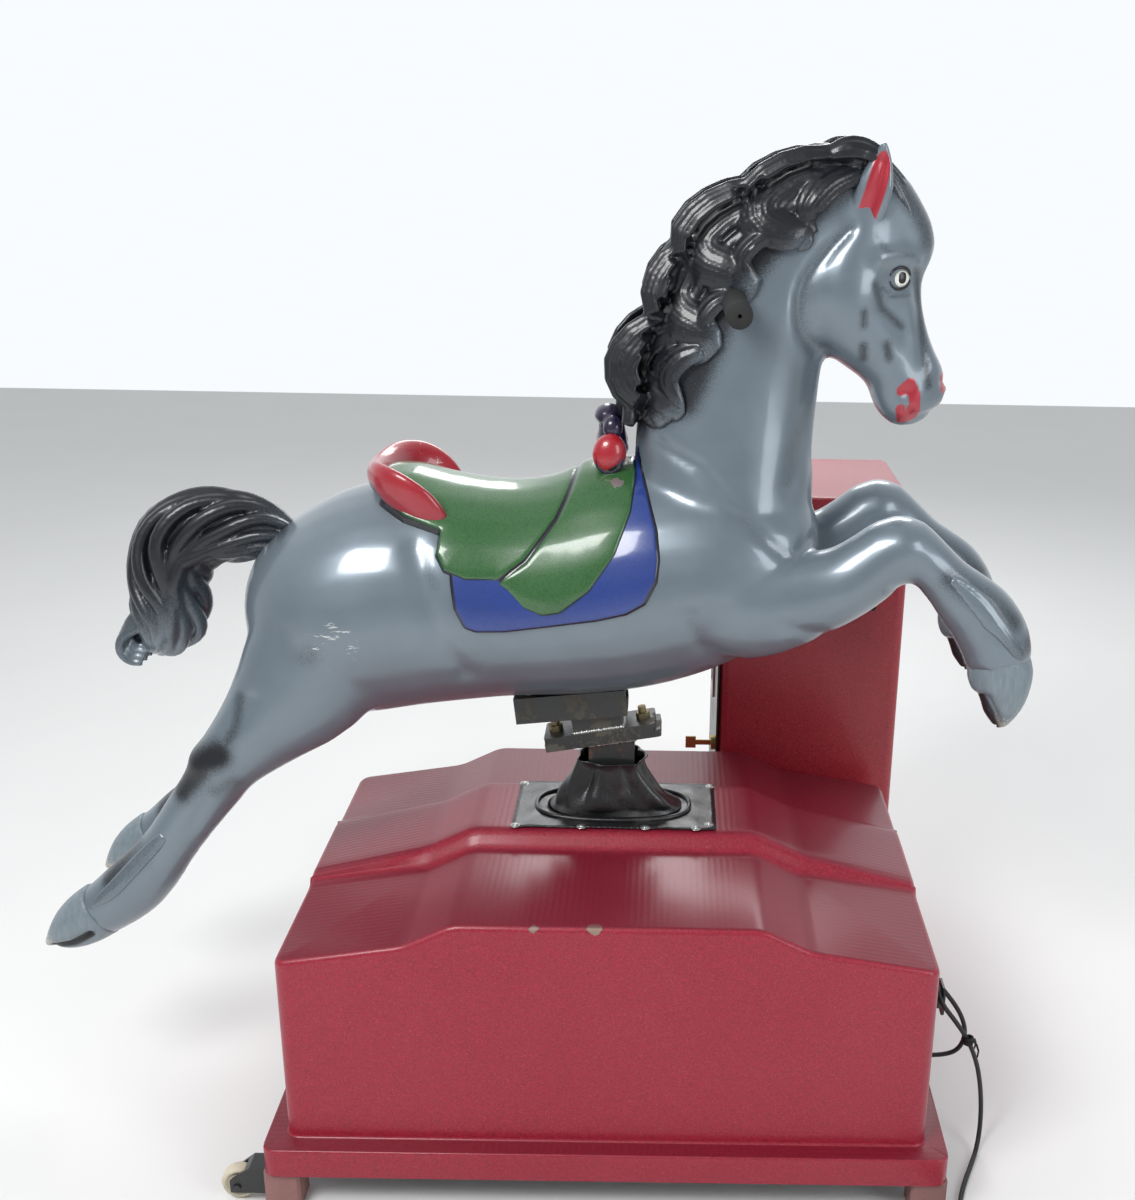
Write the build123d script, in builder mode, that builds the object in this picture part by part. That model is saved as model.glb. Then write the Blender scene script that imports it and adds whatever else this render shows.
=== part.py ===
"""Coin-operated ride: a fibreglass horse on a rocking steel column, over a boxed drive, with a coin cabinet.

Millimetres, +Z up, floor at Z = 0. +X is towards the horse's head, +Y towards the coin cabinet. The origin is on
the floor, straight below the rocker pivot. The horse's middle plane is Y = 0.
"""

import os
from math import asin, atan2, cos, degrees, hypot, pi, radians, sin, sqrt, tan

from build123d import *

os.makedirs("parts", exist_ok=True)

# ---------------------------------------------------------------- driving dimensions: base
base_length = 900.0  # X, at the box
base_depth = 562.0  # Y, at the box
base_middle_y = -20.0  # the box's middle lies in front of the ride plane
wall = 5.0  # fibreglass
end_height = 387.0  # top of the box at its two ends
shoulder_rise = 28.0  # the end ledges climb this much towards the middle
top_height = 448.0  # flat middle of the top
shoulder_x = 274.0
flat_x = 207.0
ridge_rise = 26.0  # raised strip along X, over the middle
ridge_end_rise = 10.0
ridge_half_top = 78.0
ridge_half_foot = 98.0
flange_out = 29.0
flange_bottom = 61.0
flange_clear = 1.0  # frame tube to the flange's underside
slot_length = 214.0  # hole in the top that the column swings in
slot_width = 104.0

# ---------------------------------------------------------------- driving dimensions: steel frame and feet
tube = 38.0  # square tube of the frame
tube_wall = 3.0
frame_gap = 2.0  # frame to cover
foot_size = 50.0
foot_outset = 5.0  # foot's middle past the box's end
foot_inset_y = 30.0  # foot's middle to the flange's outer edge
wheel_radius = 25.0
wheel_width = 20.0
wheel_reach = 66.0  # wheel axle past the foot's middle
wheel_lift = 3.0  # the wheels touch only when the machine is tipped onto them
axle_radius = 5.0
running = 0.05  # radial clearance of a shaft in its bore
seat_gap = 0.3  # clearance of pieces that only stand beside each other

# ---------------------------------------------------------------- driving dimensions: rocker
pivot_rise = 33.0  # shaft above the frame tubes
rock_angle = 8.0  # each way
shaft_radius = 15.0
bearing_y = 85.0
bearing_width = 30.0
hub_radius = 30.0
hub_length = 120.0
column_size = 68.0  # along X
column_depth = 50.0  # along Y
column_wall = 5.0
column_x = -6.0
head_tilt = 10.0  # the bolted plates rise towards the head
plate_height = 593.0  # underside of the lower plate at X = 0
plate_thickness = 11.0
lower_plate = (174.0, 60.0)
upper_plate = (166.0, 60.0)
plate_middle_x = -18.0
upper_plate_shift = -3.0
bolt_radius = 6.0
bolt_spacing = 132.0
stub_size = 74.0
stub_x = -22.0
nut_radius = 10.5
nut_height = 9.0
bolt_reach = 9.0  # stub thread past the nut's plate
channel_bolt_radius = 5.0
channel_nut_radius = 8.5
channel_nut_height = 7.0
channel_tilt = 6.0
channel_length = 164.0
channel_width = 72.0
channel_depth = 40.0
channel_wall = 5.0
channel_x = -68.0
channel_top = 671.0  # at its middle

# ---------------------------------------------------------------- driving dimensions: drive
lever_height = 140.0  # lever pin above the pivot
rod_length_x = 250.0  # lever pin to crank shaft, along X
crank_radius = lever_height * sin(radians(rock_angle))
crank_pin_radius = 8.0
output_radius = 12.5
crank_y = -28.0  # inner face of the crank disc
crank_disc = 40.0
crank_thickness = 12.0
rod_thickness = 14.0
rod_gap = 1.0
gearbox_y = 40.0
gear_centres = 56.0
gearbox_wall = 8.0
gearbox_size = (124.0, 96.0, 150.0)
worm_wheel_radius = 42.0
worm_radius = 13.0
input_radius = 8.0
pulley_width = 20.0
big_pulley = 62.0
small_pulley = 27.0
pulley_x = -352.0
belt_width = 10.0
belt_thickness = 7.0
drive_plate_thickness = 8.0
motor_radius = 62.0
fin_rise = 2.0  # how far the cooling fins stand out past the motor radius
motor_length = 180.0
motor_y = 178.0

# ---------------------------------------------------------------- driving dimensions: coin cabinet
cabinet_left = 167.0
cabinet_width = 308.0
cabinet_gap = 2.0  # box flange to cabinet
cabinet_depth = 300.0
cabinet_foot = 20.0
cabinet_top = 888.0
cabinet_wall = 6.0
cabinet_corner = 16.0
door_thickness = 3.0
door_gap = 2.0
panel_size = (150.0, 90.0)
lock_height = 436.0
lock_radius = 9.0

# ---------------------------------------------------------------- driving dimensions: horse
shell_wall = 5.0
saddle_wall = 9.0
saddle_gap = 0.5
screw_x = 2.0
screw_y = 62.0
screw_radius = 4.0
screw_head = 9.0
screw_seat = saddle_gap + saddle_wall - 2.0  # spot face that the head sits on
bar_radius = 12.5
bar_x = 152.0
bar_z = 1243.0
bar_half = 232.0
grip_radius = 16.5
grip_start = 76.0  # inner end of each grip, beside the neck

# ---------------------------------------------------------------- driving dimensions: mains cord
cord_radius = 3.5
gland_y = -140.0
gland_z = 135.0
gland_length = 32.0
hanger_y = -170.0
hanger_z = 256.0
hanger_radius = 19.0
hanger_reach = 32.0
coil_middle = (538.0, -400.0)
plug_radius = 18.0
plug_length = 34.0
coil_radius = 39.0
coil_half_width = 11.0
coil_height = 22.0

# ---------------------------------------------------------------- places worked out from those
base_front = base_middle_y - base_depth / 2
base_rear = base_middle_y + base_depth / 2
half_length = base_length / 2
plate_level = flange_bottom + tube  # top of the frame tubes
flange_top = plate_level + flange_clear + wall
foot_x = half_length + foot_outset
wheel_x = -foot_x - wheel_reach
pivot_z = plate_level + pivot_rise
cabinet_front = base_rear + flange_out + cabinet_gap
grip_length = bar_half - grip_start
ride_top = top_height + ridge_rise
lever_z = pivot_z + lever_height
crank_x = -rod_length_x
gear_floor = plate_level + drive_plate_thickness
worm_z = lever_z - gear_centres
motor_z = gear_floor + motor_radius + 6.0
cabinet_rear = cabinet_front + cabinet_depth
cabinet_right = cabinet_left + cabinet_width


def save(builder, name):
    """Label a finished piece and write its STEP file."""
    builder.part.label = name
    export_step(builder.part, f"parts/{name}.step")


def roof(inset, rise, end_rise, floor):
    """Corners of the stepped box top in X and Z, pulled in by a wall and raised along the middle strip."""
    end_x = half_length - inset
    return [
        (-end_x, floor),
        (-end_x, end_height + end_rise - inset),
        (-shoulder_x, end_height + shoulder_rise + rise - inset),
        (-flat_x, top_height + rise - inset),
        (flat_x, top_height + rise - inset),
        (shoulder_x, end_height + shoulder_rise + rise - inset),
        (end_x, end_height + end_rise - inset),
        (end_x, floor),
    ]


def stations(inset):
    """Y places of the box's cross sections, each with the rise of the middle strip there."""
    return [
        (base_front + inset, 0.0, 0.0),
        (-ridge_half_foot, 0.0, 0.0),
        (-ridge_half_top, ridge_rise, ridge_end_rise),
        (ridge_half_top, ridge_rise, ridge_end_rise),
        (ridge_half_foot, 0.0, 0.0),
        (base_rear - inset, 0.0, 0.0),
    ]


# ================================================================ base cover
with BuildPart() as base_cover:
    for y, rise, end_rise in stations(0.0):
        with BuildSketch(Plane.XZ.offset(-y)):
            with BuildLine():
                Polyline(*roof(0.0, rise, end_rise, flange_bottom), close=True)
            make_face()
    loft(ruled=True)
    with BuildSketch(Plane.XY.offset(flange_bottom)):
        with Locations((0, base_middle_y)):
            Rectangle(base_length + 2 * flange_out, base_depth + 2 * flange_out)
    extrude(amount=flange_top - flange_bottom)
    for y, rise, end_rise in stations(wall):
        with BuildSketch(Plane.XZ.offset(-y)):
            with BuildLine():
                Polyline(*roof(wall, rise, end_rise, flange_bottom), close=True)
            make_face()
    loft(ruled=True, mode=Mode.SUBTRACT)
    with BuildSketch(Plane.XY.offset(flange_bottom)):
        with Locations((0, base_middle_y)):
            Rectangle(base_length + 2 * (flange_out - wall), base_depth + 2 * (flange_out - wall))
    extrude(amount=flange_top - flange_bottom - wall, mode=Mode.SUBTRACT)
    with BuildSketch(Plane.XY.offset(top_height - wall)):
        SlotOverall(slot_length, slot_width)
    extrude(amount=ridge_rise + 2 * wall, mode=Mode.SUBTRACT)
    with BuildSketch(Plane.YZ.offset(half_length - 2 * wall)):
        with Locations((gland_y, gland_z)):
            Circle(8.0)
    extrude(amount=3 * wall, mode=Mode.SUBTRACT)
save(base_cover, "base_cover")

# ================================================================ steel frame
frame_x = half_length + flange_out - wall - frame_gap  # outer face of the end tubes
frame_front = base_front - flange_out + wall + frame_gap
frame_rear = base_rear + flange_out - wall - frame_gap
tube_middle = flange_bottom + tube / 2
long_run = 2 * frame_x
cross_run = frame_rear - frame_front - 2 * tube


def square_tube(middle, length, along_x):
    """Hollow square tube lying along X or Y."""
    plane = Plane.YZ if along_x else Plane.XZ
    origin = Vector(*middle) - plane.z_dir * (length / 2)
    with BuildSketch(Plane(origin=origin, x_dir=plane.x_dir, z_dir=plane.z_dir)) as section:
        Rectangle(tube, tube)
        Rectangle(tube - 2 * tube_wall, tube - 2 * tube_wall, mode=Mode.SUBTRACT)
    extrude(section.sketch, amount=length)


with BuildPart() as frame_long_rails:
    for y in (frame_front + tube / 2, frame_rear - tube / 2):
        square_tube((0, y, tube_middle), long_run, True)
save(frame_long_rails, "frame_long_rails")

with BuildPart() as frame_end_rails:
    for x in (-frame_x + tube / 2, frame_x - tube / 2):
        square_tube((x, (frame_front + frame_rear) / 2, tube_middle), cross_run, False)
save(frame_end_rails, "frame_end_rails")

bearing_run = long_run - 2 * tube
with BuildPart() as bearing_rails:
    for y in (-bearing_y, bearing_y):
        square_tube((0, y, tube_middle), bearing_run, True)
save(bearing_rails, "bearing_rails")

drive_plate_front = -bearing_y - tube / 2
drive_plate_rear = frame_rear - tube
drive_plate_x = (-bearing_run / 2, -120.0)
with BuildPart() as drive_plate:
    with BuildSketch(Plane.XY.offset(plate_level)):
        with Locations((sum(drive_plate_x) / 2, (drive_plate_front + drive_plate_rear) / 2)):
            Rectangle(drive_plate_x[1] - drive_plate_x[0], drive_plate_rear - drive_plate_front)
    extrude(amount=drive_plate_thickness)
save(drive_plate, "drive_plate")

foot_front = base_front - flange_out + foot_inset_y
foot_rear = base_rear + flange_out - foot_inset_y
with BuildPart() as foot_blocks:
    with BuildSketch():
        with Locations(*[(x, y) for x in (-foot_x, foot_x) for y in (foot_front, foot_rear)]):
            Rectangle(foot_size, foot_size)
    extrude(amount=flange_bottom)
    chamfer(foot_blocks.edges().filter_by(Axis.Z), 4.0)
save(foot_blocks, "foot_blocks")

# ================================================================ transport wheels
wheel_z = wheel_radius + wheel_lift
fork_gap = 1.5
fork_wall = 4.0
fork_half = wheel_width / 2 + fork_gap + fork_wall
with BuildPart() as wheel_brackets:
    for y in (foot_front, foot_rear):
        with BuildSketch(Plane.XZ.offset(-(y - fork_half))):
            with BuildLine():
                Polyline(
                    (wheel_x - 10, wheel_z - 10),
                    (wheel_x - 10, wheel_z + 10),
                    (-foot_x - foot_size / 2 - 22, flange_bottom),
                    (-foot_x - foot_size / 2, flange_bottom),
                    (-foot_x - foot_size / 2, wheel_z - 10),
                    close=True,
                )
            make_face()
        extrude(amount=-2 * fork_half)
        with BuildSketch(Plane.XZ.offset(-(y - wheel_width / 2 - fork_gap))):
            with Locations((wheel_x, wheel_z)):
                Circle(wheel_radius + 4)
        extrude(amount=-(wheel_width + 2 * fork_gap), mode=Mode.SUBTRACT)
        with BuildSketch(Plane.XZ.offset(-(y - fork_half - 3))):
            with Locations((wheel_x, wheel_z)):
                Circle(axle_radius)
        extrude(amount=-2 * (fork_half + 3))
save(wheel_brackets, "wheel_brackets")

for name, y in (("front", foot_front), ("rear", foot_rear)):
    with BuildPart() as wheel:
        with BuildSketch(Plane.XZ.offset(-(y - wheel_width / 2))):
            with Locations((wheel_x, wheel_z)):
                Circle(wheel_radius)
                Circle(axle_radius + running, mode=Mode.SUBTRACT)
        extrude(amount=-wheel_width)
        fillet(wheel.edges().filter_by(GeomType.CIRCLE).group_by(SortBy.RADIUS)[-1], 4.0)
    save(wheel, f"wheel_{name}")

# ================================================================ rocker shaft and bearings
with BuildPart() as pillow_blocks:
    for y in (-bearing_y, bearing_y):
        with BuildSketch(Plane.XZ.offset(-(y - bearing_width / 2))):
            with Locations((0, plate_level + 7)):
                Rectangle(130, 14)
            with Locations((0, pivot_z)):
                Circle(shaft_radius + 14)
            with Locations((0, (plate_level + pivot_z) / 2)):
                Rectangle(2 * (shaft_radius + 14), pivot_z - plate_level)
            with Locations((0, pivot_z)):
                Circle(shaft_radius + running, mode=Mode.SUBTRACT)
        extrude(amount=-bearing_width)
        with Locations(*[(x, y, plate_level + 14) for x in (-50, 50)]):
            Cylinder(9, 8, align=(Align.CENTER, Align.CENTER, Align.MIN))
save(pillow_blocks, "pillow_blocks")

with BuildPart() as rocker_shaft:
    with BuildSketch(Plane.XZ.offset(bearing_y + bearing_width / 2 + 6)):
        with Locations((0, pivot_z)):
            Circle(shaft_radius)
    extrude(amount=-2 * (bearing_y + bearing_width / 2 + 6))
    chamfer(rocker_shaft.edges().filter_by(GeomType.CIRCLE), 1.5)
save(rocker_shaft, "rocker_shaft")

# ================================================================ rocker column, up to the tilted plates
plate_plane = Plane(
    origin=(0, 0, plate_height),
    x_dir=(cos(radians(head_tilt)), 0, sin(radians(head_tilt))),
    z_dir=(-sin(radians(head_tilt)), 0, cos(radians(head_tilt))),
)
upper_plane = plate_plane.offset(plate_thickness)
stub_plane = plate_plane.offset(2 * plate_thickness)

with BuildPart() as rocker_column:
    with BuildSketch(Plane.XZ.offset(hub_length / 2)):
        with Locations((0, pivot_z)):
            Circle(hub_radius)
    extrude(amount=-hub_length)
    with BuildSketch(Plane.XY.offset(pivot_z)):
        with Locations((column_x, 0)):
            Rectangle(column_size, column_depth)
    extrude(amount=plate_height - pivot_z + 20)
    with BuildSketch(Plane.XY.offset(pivot_z + hub_radius)):
        with Locations((column_x, 0)):
            Rectangle(column_size - 2 * column_wall, column_depth - 2 * column_wall)
    extrude(amount=plate_height - pivot_z, mode=Mode.SUBTRACT)
    split(bisect_by=plate_plane, keep=Keep.BOTTOM)
    with BuildSketch(Plane.XZ.offset(hub_length / 2 + 1)):
        with Locations((0, pivot_z)):
            Circle(shaft_radius)
    extrude(amount=-(hub_length + 2), mode=Mode.SUBTRACT)
save(rocker_column, "rocker_column")

lever_tip = column_depth / 2 + 18
with BuildPart() as lever_pin:
    with BuildSketch(Plane.XZ.offset(lever_tip)):
        with Locations((0, lever_z)):
            Circle(crank_pin_radius)
    extrude(amount=-(lever_tip - column_depth / 2))
    with BuildSketch(Plane.XZ.offset(column_depth / 2 + 8)):
        with Locations((0, lever_z)):
            Circle(crank_pin_radius + 6)
    extrude(amount=-8)
save(lever_pin, "lever_pin")

bolt_places = [(plate_middle_x + upper_plate_shift + side * bolt_spacing / 2, 0) for side in (-1, 1)]


def bolted_plate(plane, size, shift):
    """Flat plate on the tilted plane with its two bolt holes."""
    with BuildSketch(plane) as outline:
        with Locations((plate_middle_x + shift, 0)):
            RectangleRounded(*size, 5)
        with Locations(*bolt_places):
            Circle(bolt_radius, mode=Mode.SUBTRACT)
    extrude(outline.sketch, amount=plate_thickness)


with BuildPart() as lower_flange:
    bolted_plate(plate_plane, lower_plate, 0.0)
save(lower_flange, "lower_flange")

# The upper bracket: plate, then a square stub that ends against the sloping channel.
channel_plane = Plane(
    origin=(channel_x, 0, channel_top),
    x_dir=(cos(radians(channel_tilt)), 0, sin(radians(channel_tilt))),
    z_dir=(-sin(radians(channel_tilt)), 0, cos(radians(channel_tilt))),
)
with BuildPart() as upper_bracket:
    with BuildSketch(stub_plane):
        with Locations((stub_x, 0)):
            Rectangle(stub_size, column_depth)
            Rectangle(stub_size - 2 * column_wall, column_depth - 2 * column_wall, mode=Mode.SUBTRACT)
    extrude(amount=60)
    split(bisect_by=channel_plane.offset(-channel_depth), keep=Keep.BOTTOM)
    bolted_plate(upper_plane, upper_plate, upper_plate_shift)
save(upper_bracket, "upper_bracket")

with BuildPart() as flange_bolts:
    with BuildSketch(plate_plane.offset(-nut_height)):
        with Locations(*bolt_places):
            RegularPolygon(nut_radius, 6)
    extrude(amount=nut_height)
    with BuildSketch(plate_plane):
        with Locations(*bolt_places):
            Circle(bolt_radius)
    extrude(amount=2 * plate_thickness + nut_height + bolt_reach)
    with BuildSketch(stub_plane):
        with Locations(*bolt_places):
            RegularPolygon(nut_radius, 6)
    extrude(amount=nut_height)
save(flange_bolts, "flange_bolts")

channel_bolts_at = [(x, y) for x in (-60, -20) for y in (-20, 20)]
with BuildPart() as mount_channel:
    with BuildSketch(channel_plane.offset(-channel_depth)):
        Rectangle(channel_length, channel_width)
    extrude(amount=channel_depth)
    with BuildSketch(channel_plane.offset(-channel_depth + channel_wall)):
        Rectangle(channel_length + 2, channel_width - 2 * channel_wall)
    extrude(amount=channel_depth - 2 * channel_wall, mode=Mode.SUBTRACT)
    with BuildSketch(channel_plane.offset(-channel_wall - 1)):
        with Locations(*channel_bolts_at):
            Circle(channel_bolt_radius)
    extrude(amount=channel_wall + 2, mode=Mode.SUBTRACT)
save(mount_channel, "mount_channel")

with BuildPart() as channel_bolts:
    with BuildSketch(channel_plane.offset(-channel_wall - channel_nut_height)):
        with Locations(*channel_bolts_at):
            RegularPolygon(channel_nut_radius, 6)
    extrude(amount=channel_nut_height)
    with BuildSketch(channel_plane.offset(-channel_wall)):
        with Locations(*channel_bolts_at):
            Circle(channel_bolt_radius)
    extrude(amount=channel_wall + 22)
save(channel_bolts, "channel_bolts")

# ================================================================ crank, connecting rod
pin_z = lever_z + crank_radius
crank_out = crank_y - crank_thickness
rod_inner = -lever_tip - rod_gap
rod_outer = rod_inner - rod_thickness
gearbox_back = gearbox_y + gearbox_size[1] / 2

with BuildPart() as crank:
    with BuildSketch(Plane.XZ.offset(-crank_out)):
        with Locations((crank_x, lever_z)):
            Circle(crank_disc)
    extrude(amount=-crank_thickness)
    with BuildSketch(Plane.XZ.offset(-crank_y)):
        with Locations((crank_x, lever_z)):
            Circle(output_radius)
    extrude(amount=-(gearbox_back - gearbox_wall - 4 - crank_y))
    with BuildSketch(Plane.XZ.offset(-rod_outer + 3)):
        with Locations((crank_x, pin_z)):
            Circle(crank_pin_radius)
    extrude(amount=rod_outer - 3 - crank_out)
save(crank, "crank")

with BuildPart() as worm_wheel:
    with BuildSketch(Plane.XZ.offset(-(gearbox_y - 12))):
        with Locations((crank_x, lever_z)):
            Circle(worm_wheel_radius)
            Circle(output_radius, mode=Mode.SUBTRACT)
        with Locations((crank_x, lever_z)):
            with PolarLocations(worm_wheel_radius, 30):
                Rectangle(6.0, 3.4, mode=Mode.SUBTRACT)
    extrude(amount=-24)
save(worm_wheel, "worm_wheel")

rod_span = hypot(rod_length_x, crank_radius)
rod_tilt = degrees(atan2(-crank_radius, rod_length_x))
rod_plane = Plane(
    origin=(crank_x, rod_inner, pin_z),
    x_dir=(cos(radians(rod_tilt)), 0, sin(radians(rod_tilt))),
    z_dir=(0, -1, 0),
)
with BuildPart() as connecting_rod:
    with BuildSketch(rod_plane):
        Circle(20)
        with Locations((rod_span, 0)):
            Circle(20)
        with Locations((rod_span / 2, 0)):
            Rectangle(rod_span, 18)
        Circle(crank_pin_radius + running, mode=Mode.SUBTRACT)
        with Locations((rod_span, 0)):
            Circle(crank_pin_radius + running, mode=Mode.SUBTRACT)
    extrude(amount=rod_thickness)
save(connecting_rod, "connecting_rod")

# ================================================================ gearbox
gearbox_low = worm_z - worm_radius - gearbox_wall - 5
with BuildPart() as gearbox_housing:
    with BuildSketch(Plane.XY.offset(gearbox_low)):
        with Locations((crank_x, gearbox_y)):
            RectangleRounded(gearbox_size[0], gearbox_size[1], 10)
    extrude(amount=gearbox_size[2])
    with BuildSketch(Plane.XY.offset(gearbox_low + gearbox_wall)):
        with Locations((crank_x, gearbox_y)):
            Rectangle(gearbox_size[0] - 2 * gearbox_wall, gearbox_size[1] - 2 * gearbox_wall)
    extrude(amount=gearbox_size[2] - 2 * gearbox_wall, mode=Mode.SUBTRACT)
    with BuildSketch(Plane.XZ.offset(-(gearbox_y - gearbox_size[1] / 2 - 1))):
        with Locations((crank_x, lever_z)):
            Circle(output_radius + running)
    extrude(amount=-(gearbox_wall + 2), mode=Mode.SUBTRACT)
    with BuildSketch(Plane.YZ.offset(crank_x - gearbox_size[0] / 2 - 1)):
        with Locations((gearbox_y, worm_z)):
            Circle(input_radius + running)
    extrude(amount=gearbox_wall + 2, mode=Mode.SUBTRACT)
    with Locations((crank_x - 30, gearbox_y, gearbox_low + gearbox_size[2])):
        Cylinder(9, 8, align=(Align.CENTER, Align.CENTER, Align.MIN))  # filler plug
save(gearbox_housing, "gearbox_housing")

with BuildPart() as gearbox_stand:
    with BuildSketch(Plane.XZ.offset(-(gearbox_y - gearbox_size[1] / 2))):
        with Locations((crank_x, (gear_floor + gearbox_low) / 2)):
            Rectangle(gearbox_size[0], gearbox_low - gear_floor)
            Rectangle(gearbox_size[0] - 14, gearbox_low - gear_floor - 14, mode=Mode.SUBTRACT)
    extrude(amount=-gearbox_size[1])
save(gearbox_stand, "gearbox_stand")

with BuildPart() as worm:
    with BuildSketch(Plane.YZ.offset(pulley_x + 4)):
        with Locations((gearbox_y, worm_z)):
            Circle(input_radius)
    extrude(amount=crank_x + 40 - pulley_x - 4)
    with BuildSketch(Plane.YZ.offset(crank_x - 32)):
        with Locations((gearbox_y, worm_z)):
            Circle(worm_radius)
    extrude(amount=64)
    for turn in range(8):
        with BuildSketch(Plane.YZ.offset(crank_x - 29 + 8 * turn)):
            with Locations((gearbox_y, worm_z)):
                Circle(worm_radius + 1)
                Circle(worm_radius - 3, mode=Mode.SUBTRACT)
        extrude(amount=3.5, mode=Mode.SUBTRACT)
save(worm, "worm")


def grooved_pulley(radius, bore, y, z):
    """V-pulley at the belt's plane: a rim with a groove as deep as the belt."""
    with BuildSketch(Plane.XY.offset(z)) as half:
        with BuildLine():
            Polyline(
                (pulley_x - pulley_width / 2, y + bore),
                (pulley_x - pulley_width / 2, y + radius),
                (pulley_x - belt_width / 2 - 1, y + radius),
                (pulley_x - belt_width / 2 - 1, y + radius - belt_thickness),
                (pulley_x + belt_width / 2 + 1, y + radius - belt_thickness),
                (pulley_x + belt_width / 2 + 1, y + radius),
                (pulley_x + pulley_width / 2, y + radius),
                (pulley_x + pulley_width / 2, y + bore),
                close=True,
            )
        make_face()
    revolve(half.sketch, axis=Axis((0, y, z), (1, 0, 0)))


with BuildPart() as gearbox_pulley:
    grooved_pulley(big_pulley, input_radius, gearbox_y, worm_z)
    with BuildSketch(Plane.YZ.offset(pulley_x - pulley_width / 2 - 1)):
        with Locations((gearbox_y, worm_z)):
            with PolarLocations(35, 5):
                Circle(10)
    extrude(amount=pulley_width + 2, mode=Mode.SUBTRACT)
save(gearbox_pulley, "gearbox_pulley")

# ================================================================ motor and belt
motor_start = pulley_x + 34
with BuildPart() as motor_pulley:
    grooved_pulley(small_pulley, 7.0, motor_y, motor_z)
    with BuildSketch(Plane.YZ.offset(pulley_x - pulley_width / 2)):
        with Locations((motor_y, motor_z)):
            Circle(7)
    extrude(amount=motor_start + 30 - pulley_x + pulley_width / 2)
save(motor_pulley, "motor_pulley")

with BuildPart() as motor_body:
    with BuildSketch(Plane.YZ.offset(motor_start)):
        with Locations((motor_y, motor_z)):
            Circle(motor_radius - 4)
    extrude(amount=motor_length)
    with BuildSketch(Plane.YZ.offset(motor_start + 20)):
        with Locations((motor_y, motor_z)):
            Circle(motor_radius - 2)
            with PolarLocations(motor_radius + fin_rise - 4, 36):
                Rectangle(8, 2.2)
    extrude(amount=motor_length - 60)
    with BuildSketch(Plane.YZ.offset(motor_start - 1)):
        with Locations((motor_y, motor_z)):
            Circle(7 + running)
    extrude(amount=34, mode=Mode.SUBTRACT)
    with BuildSketch(Plane.XY.offset(gear_floor)):
        with Locations((motor_start + motor_length / 2, motor_y)):
            Rectangle(110, 100)
    extrude(amount=6)
    with BuildSketch(Plane.XY.offset(gear_floor + 6)):
        with Locations((motor_start + motor_length / 2, motor_y)):
            Rectangle(90, 50)
    extrude(amount=20)
save(motor_body, "motor_body")

with BuildPart() as terminal_box:
    with BuildSketch(Plane.XY.offset(motor_z + motor_radius + fin_rise)):
        with Locations((motor_start + motor_length / 2, motor_y)):
            RectangleRounded(80, 56, 6)
    extrude(amount=34)
save(terminal_box, "terminal_box")

belt_gap = 0.3
with BuildPart() as drive_belt:
    with BuildSketch(Plane.YZ.offset(pulley_x - belt_width / 2)):
        for grow, how in ((belt_thickness, Mode.ADD), (0.0, Mode.SUBTRACT)):
            r_big = big_pulley - belt_thickness + belt_gap + grow
            r_small = small_pulley - belt_thickness + belt_gap + grow
            with Locations((gearbox_y, worm_z)):
                Circle(r_big, mode=how)
            with Locations((motor_y, motor_z)):
                Circle(r_small, mode=how)
            lean = atan2(motor_z - worm_z, motor_y - gearbox_y)
            centres = hypot(motor_z - worm_z, motor_y - gearbox_y)
            part_angle = pi / 2 - asin((r_big - r_small) / centres)
            with BuildLine():
                Polyline(
                    *[
                        (y + r * cos(lean + s * part_angle), z + r * sin(lean + s * part_angle))
                        for y, z, r, s in (
                            (gearbox_y, worm_z, r_big, 1),
                            (motor_y, motor_z, r_small, 1),
                            (motor_y, motor_z, r_small, -1),
                            (gearbox_y, worm_z, r_big, -1),
                        )
                    ],
                    close=True,
                )
            make_face(mode=how)
    extrude(amount=belt_width)
save(drive_belt, "drive_belt")

# ================================================================ rubber boot over the slot
plate_x = 305.0
boot_plate_y = 150.0
boot_thickness = 3.0
sleeve_top_z = 560.0
with BuildPart() as boot_plate:
    with BuildSketch(Plane.XY.offset(ride_top)):
        RectangleRounded(plate_x, boot_plate_y, 8)
        SlotOverall(slot_length - 20, slot_width - 20, mode=Mode.SUBTRACT)
    extrude(amount=boot_thickness)
save(boot_plate, "boot_plate")

with BuildPart() as boot_sleeve:
    with BuildSketch(Plane.XY.offset(ride_top + boot_thickness)):
        SlotOverall(slot_length - 8, slot_width - 8)
    with BuildSketch(Plane.XY.offset(ride_top + 24)):
        with Locations((column_x, 0)):
            SlotOverall(150, 96)
    with BuildSketch(Plane.XY.offset(sleeve_top_z)):
        with Locations((column_x, 0)):
            SlotOverall(116, 100)
    loft(ruled=True)
    with BuildSketch(Plane.XY.offset(ride_top + boot_thickness)):
        SlotOverall(slot_length - 16, slot_width - 16)
    with BuildSketch(Plane.XY.offset(ride_top + 24)):
        with Locations((column_x, 0)):
            SlotOverall(142, 88)
    with BuildSketch(Plane.XY.offset(sleeve_top_z)):
        with Locations((column_x, 0)):
            SlotOverall(108, 92)
    loft(ruled=True, mode=Mode.SUBTRACT)
save(boot_sleeve, "boot_sleeve")

with BuildPart() as boot_rivets:
    for x in (-140, -46, 46, 140):
        for y in (-66, 66):
            with Locations((x, y, ride_top + boot_thickness)):
                Cylinder(5, 2, align=(Align.CENTER, Align.CENTER, Align.MIN))
save(boot_rivets, "boot_rivets")

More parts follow.
